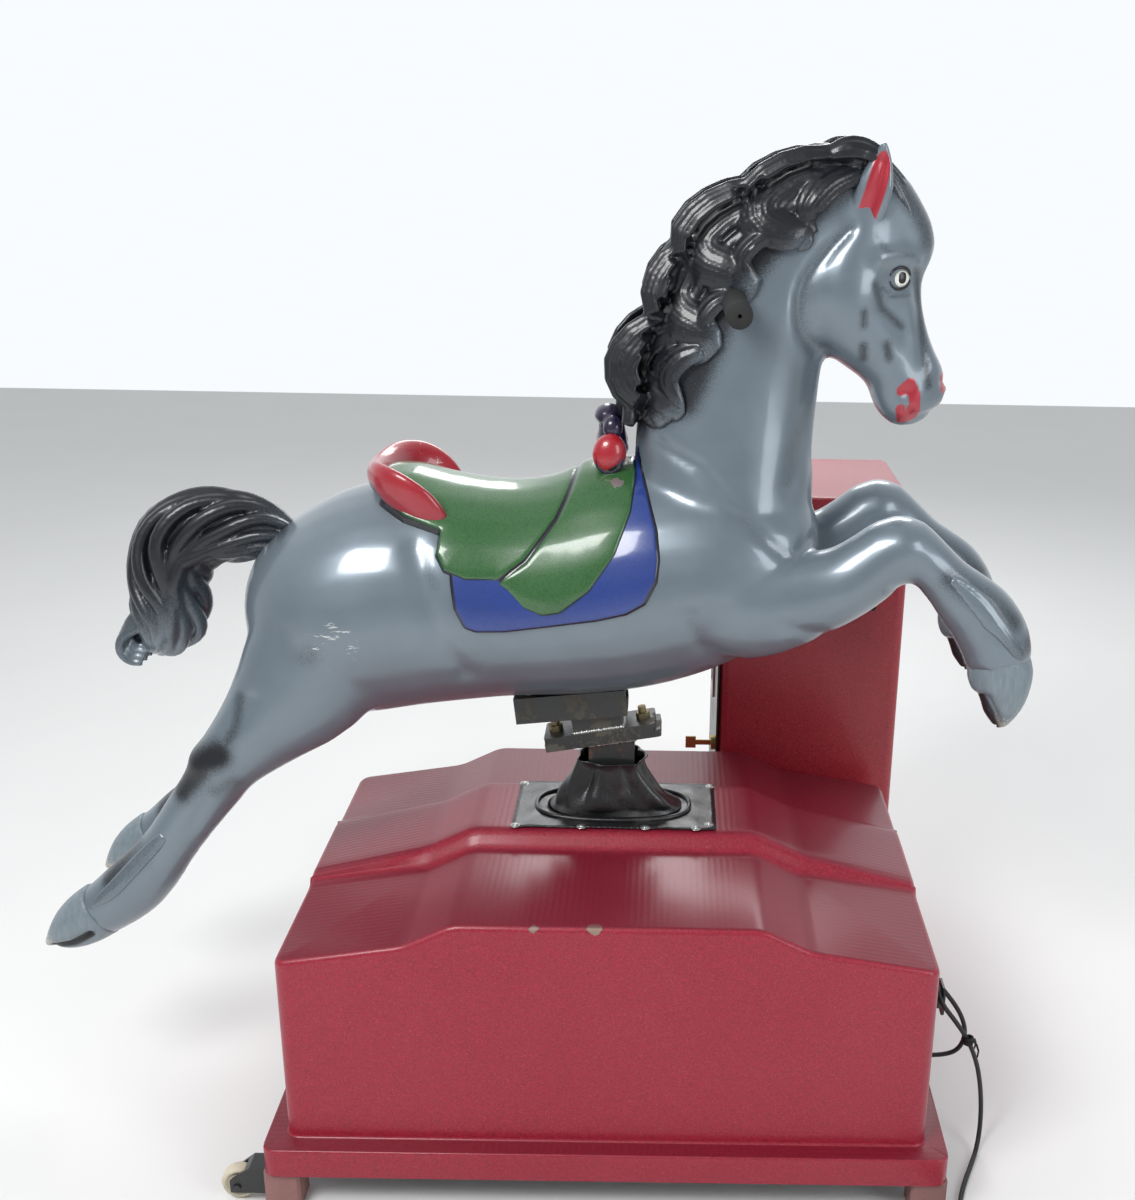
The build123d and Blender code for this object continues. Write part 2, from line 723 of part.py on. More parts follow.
# ================================================================ coin cabinet
cabinet_middle_x = (cabinet_left + cabinet_right) / 2
cabinet_middle_y = (cabinet_front + cabinet_rear) / 2
panel_x = cabinet_middle_x + 25
panel_z = 788.0
panel_recess = 3.0
with BuildPart() as cabinet_shell:
    with BuildSketch(Plane.XY.offset(cabinet_foot)):
        with Locations((cabinet_middle_x, cabinet_middle_y)):
            Rectangle(cabinet_width, cabinet_depth)
    extrude(amount=cabinet_top - cabinet_foot)
    fillet(cabinet_shell.edges().filter_by(Axis.Z).sort_by(Axis.X)[-2:], cabinet_corner)
    fillet(cabinet_shell.faces().sort_by(Axis.Z)[-1].edges().sort_by(Axis.X)[1:], 7.0)
    with BuildSketch(Plane.YZ.offset(cabinet_left - 1)):
        with Locations((cabinet_middle_y, (cabinet_foot + cabinet_top) / 2)):
            Rectangle(cabinet_depth - 2 * cabinet_wall, cabinet_top - cabinet_foot - 2 * cabinet_wall)
    extrude(amount=cabinet_width - cabinet_wall - 4, mode=Mode.SUBTRACT)
    with BuildSketch(Plane.XZ.offset(-cabinet_front + 1)):
        with Locations((panel_x, panel_z)):
            Rectangle(panel_size[0] + 1, panel_size[1] + 1)
    extrude(amount=-(panel_recess + 1), mode=Mode.SUBTRACT)
save(cabinet_shell, "cabinet_shell")

with BuildPart() as notice_panel:
    with BuildSketch(Plane.XZ.offset(-cabinet_front - 1)):
        with Locations((panel_x, panel_z)):
            Rectangle(*panel_size)
    extrude(amount=-(panel_recess - 1))
save(notice_panel, "notice_panel")

cabinet_feet_x = (cabinet_left + 40, cabinet_right - 40)
cabinet_feet_y = (cabinet_front + 40, cabinet_rear - 40)
with BuildPart() as cabinet_feet:
    with BuildSketch():
        with Locations(*[(x, y) for x in cabinet_feet_x for y in cabinet_feet_y]):
            Circle(18)
    extrude(amount=cabinet_foot)
save(cabinet_feet, "cabinet_feet")

# Steel strap that ties the cabinet's front to the rear frame tube.
with BuildPart() as cabinet_strap:
    with BuildSketch(Plane.XY.offset(flange_bottom - 5)):
        with Locations((cabinet_middle_x, (frame_rear - tube / 2 + cabinet_front) / 2)):
            Rectangle(160, cabinet_front - frame_rear + tube / 2)
    extrude(amount=5)
    with BuildSketch(Plane.XY.offset(cabinet_foot + 6)):
        with Locations((cabinet_middle_x, cabinet_front - 2)):
            Rectangle(160, 4)
    extrude(amount=flange_bottom - cabinet_foot - 6)
save(cabinet_strap, "cabinet_strap")

# Steel door on the cabinet's left side, hinged at its rear edge, with a folded return all round.
door_low = cabinet_foot + door_gap
door_high = cabinet_top - door_gap
door_front = cabinet_front + 4
hinge_radius = 5.0
hinge_x = cabinet_left - hinge_radius - 1
hinge_y = cabinet_rear + hinge_radius - 2
door_back = cabinet_rear - 8
door_x = cabinet_left - door_gap / 2 - door_thickness
slot_z = 640.0
cup_z = 520.0
button_z = 700.0
coin_y = cabinet_middle_y
with BuildPart() as coin_door:
    with BuildSketch(Plane.YZ.offset(door_x)):
        with Locations(((door_front + door_back) / 2, (door_low + door_high) / 2)):
            RectangleRounded(door_back - door_front, door_high - door_low, 6)
    extrude(amount=door_thickness)
    with BuildSketch(Plane.YZ.offset(door_x)):
        with Locations((door_front + 22, lock_height)):
            Circle(lock_radius + running)
        with Locations((coin_y, button_z)):
            Circle(13.2)
        with Locations((coin_y - 30, slot_z)):
            Rectangle(4.0, 34.0)
        with Locations((coin_y + 22, slot_z)):
            Circle(8.2)
        with Locations((coin_y, cup_z)):
            Rectangle(64, 54)
    extrude(amount=door_thickness, mode=Mode.SUBTRACT)
    for z in (door_low + 90, door_high - 90):
        with BuildSketch(Plane.XY.offset(z - 20)):
            with Locations((hinge_x, hinge_y)):
                Circle(hinge_radius)
            with Locations((hinge_x + 1, (door_back + hinge_y) / 2 - 3)):
                Rectangle(3, hinge_y - door_back + 10)
            with Locations((hinge_x, hinge_y)):
                Circle(2.5 + running, mode=Mode.SUBTRACT)
        extrude(amount=40)
save(coin_door, "coin_door")

with BuildPart() as door_hinge_pins:
    for z in (door_low + 90, door_high - 90):
        with BuildSketch(Plane.XY.offset(z - 46)):
            with Locations((hinge_x, hinge_y)):
                Circle(2.5)
        extrude(amount=92)
        for low in (z - 46, z + 21):
            with BuildSketch(Plane.XY.offset(low)):
                with Locations((hinge_x, hinge_y)):
                    Circle(hinge_radius)
                with Locations(((hinge_x + cabinet_left + 14) / 2, cabinet_rear + 1.5)):
                    Rectangle(cabinet_left + 14 - hinge_x, 3)
            extrude(amount=25)
save(door_hinge_pins, "door_hinge_pins")

with BuildPart() as door_lock:
    with BuildSketch(Plane.YZ.offset(door_x - 8)):
        with Locations((door_front + 22, lock_height)):
            Circle(lock_radius + 4)
    extrude(amount=8)
    with BuildSketch(Plane.YZ.offset(door_x)):
        with Locations((door_front + 22, lock_height)):
            Circle(lock_radius)
    extrude(amount=22)
    with BuildSketch(Plane.YZ.offset(door_x - 34)):
        with Locations((door_front + 22, lock_height)):
            Rectangle(2.4, 9)
    extrude(amount=26)
    with BuildSketch(Plane.YZ.offset(door_x - 52)):
        with Locations((door_front + 22, lock_height)):
            RectangleRounded(2.4, 22, 1)
    extrude(amount=18)
    with BuildSketch(Plane.YZ.offset(door_x + 19)):
        with Locations((door_front + 22 + 8, lock_height)):
            Rectangle(34, 14)
    extrude(amount=3)
save(door_lock, "door_lock")

with BuildPart() as coin_plate:
    with BuildSketch(Plane.YZ.offset(door_x - 4)):
        with Locations((coin_y, slot_z)):
            RectangleRounded(110, 70, 6)
        with Locations((coin_y - 30, slot_z)):
            Rectangle(4.0, 34.0, mode=Mode.SUBTRACT)
        with Locations((coin_y + 22, slot_z)):
            Circle(8.2, mode=Mode.SUBTRACT)
    extrude(amount=4)
save(coin_plate, "coin_plate")

with BuildPart() as return_button:
    with BuildSketch(Plane.YZ.offset(door_x - 12)):
        with Locations((coin_y + 22, slot_z)):
            Circle(8.0)
    extrude(amount=24)
    with BuildSketch(Plane.YZ.offset(door_x + door_thickness)):
        with Locations((coin_y + 22, slot_z)):
            Circle(11)
    extrude(amount=4)
save(return_button, "return_button")

with BuildPart() as start_button:
    with BuildSketch(Plane.YZ.offset(door_x - 12)):
        with Locations((coin_y, button_z)):
            Circle(13.0)
    extrude(amount=26)
    with BuildSketch(Plane.YZ.offset(door_x + door_thickness)):
        with Locations((coin_y, button_z)):
            Circle(16)
    extrude(amount=4)
save(start_button, "start_button")

cup_depth = 40.0
with BuildPart() as return_cup:
    with BuildSketch(Plane.YZ.offset(door_x - 4)):
        with Locations((coin_y, cup_z)):
            RectangleRounded(80, 70, 5)
    extrude(amount=4)
    with BuildSketch(Plane.YZ.offset(door_x)):
        with Locations((coin_y, cup_z)):
            Rectangle(63.4, 53.4)
    extrude(amount=cup_depth)
    with BuildSketch(Plane.YZ.offset(door_x - 5)):
        with Locations((coin_y, cup_z)):
            Rectangle(58, 48)
    extrude(amount=cup_depth + 2, mode=Mode.SUBTRACT)
save(return_cup, "return_cup")

mech_x = door_x + 28
with BuildPart() as coin_mechanism:
    with BuildSketch(Plane.YZ.offset(mech_x)):
        with Locations((coin_y, slot_z)):
            Rectangle(104, 96)
        with Locations((coin_y + 22, slot_z)):
            Circle(12, mode=Mode.SUBTRACT)
    extrude(amount=36)
    with BuildSketch(Plane.YZ.offset(door_x + door_thickness)):
        with Locations(*[(coin_y + y, slot_z + z) for y in (-46, 46) for z in (-42, 42)]):
            Circle(4)
    extrude(amount=mech_x - door_x - door_thickness)
save(coin_mechanism, "coin_mechanism")

with BuildPart() as cash_box:
    with BuildSketch(Plane.XY.offset(cabinet_foot + cabinet_wall)):
        with Locations((cabinet_middle_x, cabinet_middle_y)):
            Rectangle(200, 180)
    extrude(amount=120)
    with BuildSketch(Plane.XY.offset(cabinet_foot + cabinet_wall + 2)):
        with Locations((cabinet_middle_x, cabinet_middle_y)):
            Rectangle(196, 176)
    extrude(amount=120, mode=Mode.SUBTRACT)
save(cash_box, "cash_box")

inside_right = cabinet_left - 1 + cabinet_width - cabinet_wall - 4
with BuildPart() as timer_box:
    with BuildSketch(Plane.YZ.offset(inside_right - 70)):
        with Locations((cabinet_middle_y, 620)):
            RectangleRounded(160, 200, 6)
    extrude(amount=70)
save(timer_box, "timer_box")

with BuildPart() as transformer:
    with BuildSketch(Plane.YZ.offset(inside_right - 76)):
        with Locations((cabinet_middle_y, 420)):
            Rectangle(96, 84)
    extrude(amount=70)
    with BuildSketch(Plane.YZ.offset(inside_right - 6)):
        with Locations((cabinet_middle_y, 420)):
            Rectangle(130, 100)
    extrude(amount=6)
save(transformer, "transformer")

# ================================================================ horse: cross sections
# Torso sections stand across X: place, underside, top, half width.
torso = [
    (-532, 760, 826, 34),
    (-508, 700, 880, 88),
    (-455, 650, 924, 128),
    (-372, 633, 966, 150),
    (-270, 648, 982, 150),
    (-150, 664, 968, 140),
    (-50, 668, 990, 140),
    (50, 682, 1018, 146),
    (140, 716, 1020, 142),
    (215, 760, 1000, 118),
    (266, 820, 960, 78),
    (286, 866, 926, 34),
]
# Neck and mane sections lie level: height, back edge, front edge, half width.
neck = [
    (850, 0, 268, 108),
    (930, 2, 272, 110),
    (1025, 8, 272, 96),
    (1096, 6, 274, 84),
    (1178, 10, 286, 80),
    (1249, 44, 322, 74),
    (1328, 78, 350, 70),
    (1392, 160, 352, 58),
    (1424, 222, 330, 40),
    (1437, 250, 300, 20),
]
# Head sections lie level too.
head = [
    (1388, 280, 388, 46),
    (1322, 262, 416, 66),
    (1260, 252, 410, 76),
    (1197, 268, 420, 68),
    (1146, 312, 446, 52),
    (1106, 344, 450, 46),
    (1080, 360, 432, 34),
    (1068, 372, 408, 14),
]
# Limbs run through stations: place in X and Z, half thickness along the side view, half width in Y, side offset.
hind_leg = [
    (-395, 785, 110, 62, 76),
    (-459, 682, 86, 60, 92),
    (-542, 600, 50, 44, 103),
    (-598, 519, 40, 35, 108),
    (-654, 438, 38, 33, 110),
    (-703, 386, 44, 38, 111),
    (-757, 340, 40, 37, 112),
    (-803, 314, 32, 32, 112),
    (-838, 296, 10, 20, 112),
]
front_leg = [
    (120, 846, 96, 56, 78),
    (217, 829, 70, 54, 88),
    (304, 862, 54, 44, 96),
    (374, 918, 45, 41, 102),
    (420, 921, 46, 40, 105),
    (466, 878, 37, 34, 107),
    (496, 838, 47, 40, 108),
    (528, 778, 48, 42, 109),
    (537, 712, 34, 36, 110),
    (534, 664, 8, 20, 110),
]
tail = [
    (-476, 878, 34, 30, 0),
    (-512, 897, 40, 34, 0),
    (-552, 908, 48, 38, 0),
    (-604, 900, 54, 42, 0),
    (-648, 862, 56, 44, 0),
    (-654, 796, 54, 44, 0),
    (-664, 744, 42, 38, 0),
    (-686, 712, 12, 16, 0),
]


def torso_sections(grow):
    """Upright ellipses of the torso, grown or shrunk by a wall."""
    sections = []
    for x, low, high, half in torso:
        with BuildSketch(Plane.YZ.offset(x)) as section:
            with Locations((0, (low + high) / 2)):
                Ellipse(half + grow, (high - low) / 2 + grow)
        sections.append(section.sketch)
    return sections


def level_sections(rows, grow):
    """Level ellipses of the neck or the head."""
    sections = []
    for z, back, front, half in rows:
        with BuildSketch(Plane.XY.offset(z)) as section:
            with Locations(((back + front) / 2, 0)):
                Ellipse((front - back) / 2 + grow, half + grow)
        sections.append(section.sketch)
    return sections


def limb_sections(rows, side, grow):
    """Ellipses square to a limb's run; side is +1, -1 or 0."""
    sections = []
    for index, (x, z, thick, half, offset) in enumerate(rows):
        before = rows[max(index - 1, 0)]
        after = rows[min(index + 1, len(rows) - 1)]
        run = Vector(after[0] - before[0], 0, after[1] - before[1]).normalized()
        plane = Plane(origin=(x, side * offset, z), x_dir=(0, 1, 0), z_dir=run)
        with BuildSketch(plane) as section:
            Ellipse(half + grow, thick + grow)
        sections.append(section.sketch)
    return sections


def ear_sections(side):
    """Foot and tip of one ear."""
    sections = []
    for x, y, z, long_half, short_half in ((322, 46, 1360, 27, 14), (334, 58, 1440, 5, 3)):
        with BuildSketch(Plane.XY.offset(z)) as section:
            with Locations((x, side * y)):
                Ellipse(long_half, short_half)
        sections.append(section.sketch)
    return sections


def torso_normal(x, y):
    """Point and outward direction on the torso's upper surface, between two of its sections."""
    before = [row for row in torso if row[0] <= x][-1]
    after = [row for row in torso if row[0] > x][0]
    share = (x - before[0]) / (after[0] - before[0])
    low, high, half = (before[k] + share * (after[k] - before[k]) for k in (1, 2, 3))
    rise = (high - low) / 2
    z = (low + high) / 2 + rise * sqrt(1 - (y / half) ** 2)
    return Vector(x, y, z), Vector(0, y / half**2, (z - (low + high) / 2) / rise**2).normalized()


def screw_plane(side, lift):
    """Plane square to the saddle at one of its two screws, above or below the torso's skin."""
    point, normal = torso_normal(screw_x, side * screw_y)
    return Plane(origin=point + normal * lift, x_dir=(1, 0, 0), z_dir=normal)


def screw_hole(side, radius, low, high):
    """Cylinder along one saddle screw, between two heights over the torso's skin."""
    with BuildSketch(screw_plane(side, low)) as section:
        Circle(radius)
    return section.sketch, high - low


pad_size = (channel_length, channel_width + 6, 60.0)
with BuildPart() as horse_shell:
    loft(torso_sections(0.0), ruled=True)
    loft(level_sections(neck, 0.0), ruled=True)
    loft(level_sections(head, 0.0), ruled=True)
    for side in (-1, 1):
        loft(limb_sections(hind_leg, side, 0.0), ruled=True)
        loft(limb_sections(front_leg, side, 0.0), ruled=True)
        loft(ear_sections(side))
    loft(torso_sections(-shell_wall), ruled=True, mode=Mode.SUBTRACT)
    loft(level_sections(neck[1:-1], -shell_wall), ruled=True, mode=Mode.SUBTRACT)
    with BuildSketch(channel_plane):
        Rectangle(pad_size[0], pad_size[1])
    extrude(amount=pad_size[2])
    with BuildSketch(channel_plane.offset(-60)):
        Rectangle(pad_size[0] + 1, pad_size[1] + 1)
    extrude(amount=60, mode=Mode.SUBTRACT)
    with BuildSketch(channel_plane.offset(-1)):
        with Locations(*channel_bolts_at):
            Circle(channel_bolt_radius)
    extrude(amount=24, mode=Mode.SUBTRACT)
    with BuildSketch(Plane.XZ.offset(120)):
        with Locations((bar_x, bar_z)):
            Circle(bar_radius)
    extrude(amount=-240, mode=Mode.SUBTRACT)
    loft(limb_sections(tail[:4], 0, seat_gap), ruled=True, mode=Mode.SUBTRACT)
    for side in (-1, 1):
        hole, depth = screw_hole(side, screw_radius, -20.0, 10.0)
        extrude(hole, amount=depth, mode=Mode.SUBTRACT)

for name, keep in (("left", Keep.BOTTOM), ("right", Keep.TOP)):
    with BuildPart() as half_shell:
        add(horse_shell.part)
        split(bisect_by=Plane.XZ, keep=keep)
    save(half_shell, f"horse_shell_{name}")

with BuildPart() as horse_tail:
    loft(limb_sections(tail, 0, 0.0), ruled=True)
save(horse_tail, "horse_tail")

# ================================================================ saddle over the torso
saddle_outline = [
    (-345, 1060),
    (-336, 962),
    (-285, 925),
    (-236, 932),
    (-238, 905),
    (-222, 875),
    (-216, 842),
    (-200, 806),
    (-145, 804),
    (-22, 823),
    (22, 834),
    (53, 856),
    (65, 890),
    (63, 930),
    (50, 975),
    (36, 1012),
    (20, 1060),
]
cantle = [(-342, 975), (-334, 1016), (-312, 1030), (-268, 1024), (-240, 990), (-240, 960)]
pommel = [(-58, 985), (-40, 1030), (-34, 1062), (4, 1058), (4, 985)]
horn = [(-30, 1055), (-34, 1092), (-24, 1100), (-4, 1100), (0, 1088), (-2, 1055)]
with BuildPart() as saddle:
    loft(torso_sections(saddle_gap + saddle_wall), ruled=True)
    with BuildSketch(Plane.XZ.offset(200)):
        with BuildLine():
            Polyline(*saddle_outline, close=True)
        make_face()
    extrude(amount=-400, mode=Mode.INTERSECT)
    for outline, half in ((cantle, 86.0), (pommel, 44.0), (horn, 18.0)):
        with BuildSketch(Plane.XZ.offset(half)):
            with BuildLine():
                Polyline(*outline, close=True)
            make_face()
        extrude(amount=-2 * half)
    loft(torso_sections(saddle_gap), ruled=True, mode=Mode.SUBTRACT)
    loft(level_sections(neck, saddle_gap), ruled=True, mode=Mode.SUBTRACT)
    for side in (-1, 1):
        hole, depth = screw_hole(side, screw_radius, -20.0, 40.0)
        extrude(hole, amount=depth, mode=Mode.SUBTRACT)
        seat, depth = screw_hole(side, screw_head + 0.3, screw_seat, 40.0)
        extrude(seat, amount=depth, mode=Mode.SUBTRACT)
save(saddle, "saddle")

with BuildPart() as saddle_screws:
    for side in (-1, 1):
        shank, depth = screw_hole(side, screw_radius, -14.0, screw_seat)
        extrude(shank, amount=depth)
        head_outline, depth = screw_hole(side, screw_head, screw_seat, screw_seat + 4.0)
        extrude(head_outline, amount=depth)
save(saddle_screws, "saddle_screws")

# ================================================================ handlebar and grips
with BuildPart() as handlebar:
    with BuildSketch(Plane.XZ.offset(bar_half - 6)):
        with Locations((bar_x, bar_z)):
            Circle(bar_radius)
            Circle(bar_radius - 2, mode=Mode.SUBTRACT)
    extrude(amount=-2 * (bar_half - 6))
save(handlebar, "handlebar")

for name, side in (("right", -1), ("left", 1)):
    with BuildPart() as grip:
        with BuildSketch(Plane.XZ.offset(-side * bar_half)):
            with Locations((bar_x, bar_z)):
                Circle(grip_radius)
        extrude(amount=side * grip_length)
        with BuildSketch(Plane.XZ.offset(-side * (bar_half - 6))):
            with Locations((bar_x, bar_z)):
                Circle(bar_radius)
        extrude(amount=side * grip_length, mode=Mode.SUBTRACT)
        for ring in range(13):
            with BuildSketch(Plane.XZ.offset(-side * (bar_half - 8 - 12 * ring))):
                with Locations((bar_x, bar_z)):
                    Circle(grip_radius + 1)
                    Circle(grip_radius - 1.5, mode=Mode.SUBTRACT)
            extrude(amount=side * 5, mode=Mode.SUBTRACT)
    save(grip, f"grip_{name}")

# ================================================================ mains cord
gland_end = half_length + gland_length - 4
with BuildPart() as cord_gland:
    for start, run, low_radius, high_radius in (
        (half_length - wall - 5, 5, 12, 12),
        (half_length - wall, wall, 8, 8),
        (half_length, 6, 12, 12),
        (half_length + 6, gland_end - half_length - 6, 7.5, 4.5),
    ):
        with BuildSketch(Plane.YZ.offset(start)) as near_end:
            with Locations((gland_y, gland_z)):
                Circle(low_radius)
        with BuildSketch(Plane.YZ.offset(start + run)) as far_end:
            with Locations((gland_y, gland_z)):
                Circle(high_radius)
        loft([near_end.sketch, far_end.sketch])
save(cord_gland, "cord_gland")

with BuildPart() as cord_hanger:
    with BuildSketch(Plane.YZ.offset(half_length)):
        with Locations((hanger_y, hanger_z)):
            Circle(hanger_radius)
            with Locations((0, -hanger_radius)):
                Rectangle(2 * hanger_radius, 2 * hanger_radius, mode=Mode.SUBTRACT)
        with Locations((hanger_y, hanger_z)):
            Rectangle(2 * hanger_radius, 6)
    extrude(amount=hanger_reach)
    with BuildSketch(Plane.YZ.offset(half_length + hanger_reach)):
        with Locations((hanger_y, hanger_z + 4)):
            RectangleRounded(40, 46, 10)
    extrude(amount=3)
save(cord_hanger, "cord_hanger")

# Out of the gland, up and over the hanger, down to the floor and along the flange to the coil.
cord_route = [
    (gland_end, gland_y, gland_z),
    (503, -140, 135),
    (526, -141, 147),
    (533, -142, 178),
    (522, -142, 212),
    (498, -141.5, 246),
    (478, -140.5, 268),
    (472, -158, 285.5),
    (472, -182, 285.5),
    (478, -199.5, 268),
    (500, -201, 240),
    (522, -198, 206),
    (540, -191, 162),
    (551, -183, 116),
    (558, -176, 70),
    (560, -175, 30),
    (553, -192, 6),
    (538, -224, 3.8),
    (520, -262, 3.6),
    (506, -300, 3.6),
    (500, -336, 3.6),
    (499, -366, 3.6),
]


def tube_radii(route):
    """Arc at each corner, as large as its two runs allow."""
    points = [Vector(*p) for p in route]
    radii = []
    for before, corner, after in zip(points, points[1:], points[2:]):
        into, out = corner - before, after - corner
        half_turn = radians(into.get_angle(out)) / 2
        radii.append(0.45 * min(into.length, out.length) / tan(half_turn))
    return radii


cord_radii = tube_radii(cord_route)
print("cord radii", [round(r) for r in cord_radii])
with BuildPart() as cord_tube:
    with BuildLine() as cord_path:
        FilletPolyline(*cord_route, radius=cord_radii)
    with BuildSketch(Plane(origin=cord_route[0], z_dir=cord_path.line % 0)):
        Circle(cord_radius)
    sweep(path=cord_path.line)
cord_length = cord_path.wire().length
print("cord length", round(cord_length))
save(cord_tube, "cord_tube")

with BuildPart() as cord_coil:
    with BuildSketch():
        with Locations(coil_middle):
            Circle(coil_radius + coil_half_width)
            Circle(coil_radius - coil_half_width, mode=Mode.SUBTRACT)
    extrude(amount=coil_height)
save(cord_coil, "cord_coil")

plug_x = coil_middle[0] - coil_radius
plug_start = coil_middle[1] - coil_radius - 15.0
with BuildPart() as cord_plug:
    with BuildSketch(Plane.XZ.offset(-plug_start)):
        with Locations((plug_x, plug_radius)):
            Circle(5)
    extrude(amount=-26)
    with BuildSketch(Plane.XZ.offset(-plug_start)):
        with Locations((plug_x, plug_radius)):
            Circle(plug_radius)
    extrude(amount=plug_length)
    with BuildSketch(Plane.XZ.offset(-plug_start + plug_length)):
        with Locations((plug_x - 9.5, plug_radius), (plug_x + 9.5, plug_radius)):
            Circle(2.4)
    extrude(amount=19)
save(cord_plug, "cord_plug")
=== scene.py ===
# %% [markdown]
# A coin-operated ride: a fibreglass horse that rocks on a steel column above a boxed drive, with a coin
# cabinet behind it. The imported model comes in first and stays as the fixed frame. Every piece made here is
# placed from its boxes, in metres: +X is towards the horse's head, +Y towards the cabinet, +Z up.

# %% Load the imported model
from math import cos, pi, radians, sin

import bmesh
import bpy
import numpy as np
from mathutils import Matrix, Vector
from mathutils.bvhtree import BVHTree


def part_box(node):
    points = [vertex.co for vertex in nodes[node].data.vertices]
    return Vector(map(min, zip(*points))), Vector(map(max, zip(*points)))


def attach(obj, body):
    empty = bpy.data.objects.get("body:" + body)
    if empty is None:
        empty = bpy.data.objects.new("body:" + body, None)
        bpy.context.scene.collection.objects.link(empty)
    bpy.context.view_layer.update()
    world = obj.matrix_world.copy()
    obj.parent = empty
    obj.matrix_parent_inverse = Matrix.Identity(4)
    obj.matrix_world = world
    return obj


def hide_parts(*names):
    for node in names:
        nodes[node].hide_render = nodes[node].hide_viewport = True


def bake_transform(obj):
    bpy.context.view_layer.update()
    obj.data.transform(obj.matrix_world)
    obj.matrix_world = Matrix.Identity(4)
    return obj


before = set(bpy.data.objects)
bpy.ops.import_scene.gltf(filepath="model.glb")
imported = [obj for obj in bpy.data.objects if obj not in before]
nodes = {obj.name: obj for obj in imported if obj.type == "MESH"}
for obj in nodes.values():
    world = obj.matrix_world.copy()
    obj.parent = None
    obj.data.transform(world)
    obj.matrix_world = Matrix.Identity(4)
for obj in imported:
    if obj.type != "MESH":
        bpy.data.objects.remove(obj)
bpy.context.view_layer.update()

MM = 0.001


# %% [markdown]
# The camera stands about 1.9 m in front of the ride at a grown-up's eye height and looks down a little. It
# is turned by three small angles, so its matrix is written out from them instead of tracking a target.

# %% Camera
def camera_matrix(place, yaw, pitch, roll):
    """Matrix of a camera at a place, turned by a yaw from +Y, a pitch and a roll, in degrees."""
    yaw, pitch, roll = radians(yaw), radians(pitch), radians(roll)
    ahead = Vector((sin(yaw) * cos(pitch), cos(yaw) * cos(pitch), sin(pitch)))
    side = Vector((cos(yaw), -sin(yaw), 0))
    up = side.cross(ahead)
    right = side * cos(roll) + up * sin(roll)
    over = up * cos(roll) - side * sin(roll)
    turn = Matrix((right, over, -ahead)).transposed().to_4x4()
    return Matrix.Translation(place) @ turn


camera_data = bpy.data.cameras.new("camera")
camera_data.lens = 40.63
camera_data.shift_x = -0.0833
camera = bpy.data.objects.new("camera", camera_data)
bpy.context.scene.collection.objects.link(camera)
camera.matrix_world = camera_matrix((0.0648, -1.8585, 1.4414), yaw=0.26, pitch=-18.83, roll=1.04)
bpy.context.scene.camera = camera
print("camera at", tuple(round(v, 3) for v in camera.location))

# %% [markdown]
# The mains lead leaves a gland low on the right end, loops up over a hanger, where a tie gathers its
# strands, and drops to the floor. What is left over is wound into a neat coil beside the box. The route is
# the one that the CAD tube follows; the coil is the same spline carried on, three layers of turns that grow
# and shrink by one diameter.

# %% Mains lead
CORD = 7 * MM
cord_route = [
    (478, -140, 135), (503, -140, 135), (526, -141, 147), (533, -142, 178), (522, -142, 212),
    (498, -141.5, 246), (478, -140.5, 268), (472, -158, 285.5), (472, -182, 285.5), (478, -199.5, 268),
    (500, -201, 240), (522, -198, 206), (540, -191, 162), (551, -183, 116), (558, -176, 70),
    (560, -175, 30), (553, -192, 6), (538, -224, 3.8), (520, -262, 3.6), (506, -300, 3.6),
    (500, -336, 3.6),
]  # fmt: skip
coil_middle = (538, -400)


def coil_points(first_angle, turns, per_turn=14):
    """Points of a coil in three layers: inwards on the floor, outwards above it, then inwards again."""
    points = []
    steps = round(turns * per_turn)
    for step in range(steps + 1):
        turn = step / per_turn
        radius = np.interp(turn, (0, 2.1, 2.6, 4.6, 5.0, turns), (46, 31.5, 31.5, 46, 46, 39))
        height = np.interp(turn, (0, 2.1, 2.5, 4.6, 5.0, turns), (3.6, 3.6, 10.8, 10.8, 18, 18))
        angle = first_angle + 2 * pi * step / per_turn
        points.append((coil_middle[0] + radius * cos(angle), coil_middle[1] + radius * sin(angle), height))
    return points


def smooth_curve(name, points, radius, cyclic=False):
    """A round NURBS tube through metres, with the points as its control points."""
    data = bpy.data.curves.new(name, "CURVE")
    data.dimensions = "3D"
    spline = data.splines.new("NURBS")
    spline.points.add(len(points) - 1)
    for control, place in zip(spline.points, points):
        control.co = (*place, 1)
    spline.order_u = 3
    spline.use_endpoint_u = not cyclic
    spline.use_cyclic_u = cyclic
    spline.resolution_u = 6
    data.bevel_depth = radius
    data.bevel_resolution = 3
    data.use_fill_caps = True
    piece = bpy.data.objects.new(name, data)
    bpy.context.scene.collection.objects.link(piece)
    return piece


coil_turns = 6 + 1 / 14
into_plug = [(499, -414, 18), (499, -424, 18), (499, -434, 18)]
lead_points = cord_route + coil_points(pi - 2 * pi / 14, coil_turns) + into_plug
lead_points = [Vector(p) * MM for p in lead_points]
mains_lead = smooth_curve("mains_lead", lead_points, CORD / 2)


def curve_length(piece):
    """Length of a curve's own line."""
    bare = piece.copy()
    bare.data = piece.data.copy()
    bare.data.bevel_depth = 0
    mesh = bpy.data.meshes.new_from_object(bare)
    line = np.array([v.co for v in mesh.vertices])
    bpy.data.objects.remove(bare)
    return float(np.linalg.norm(np.diff(line, axis=0), axis=1).sum())


lead_length = curve_length(mains_lead)
print("mains lead", round(lead_length, 3), "m")

# %% [markdown]
# Materials are written as short expressions. `Value` wraps one output socket and turns Python's operators
# into Math nodes; `Finish` makes one material, and its `node` method makes any other node.

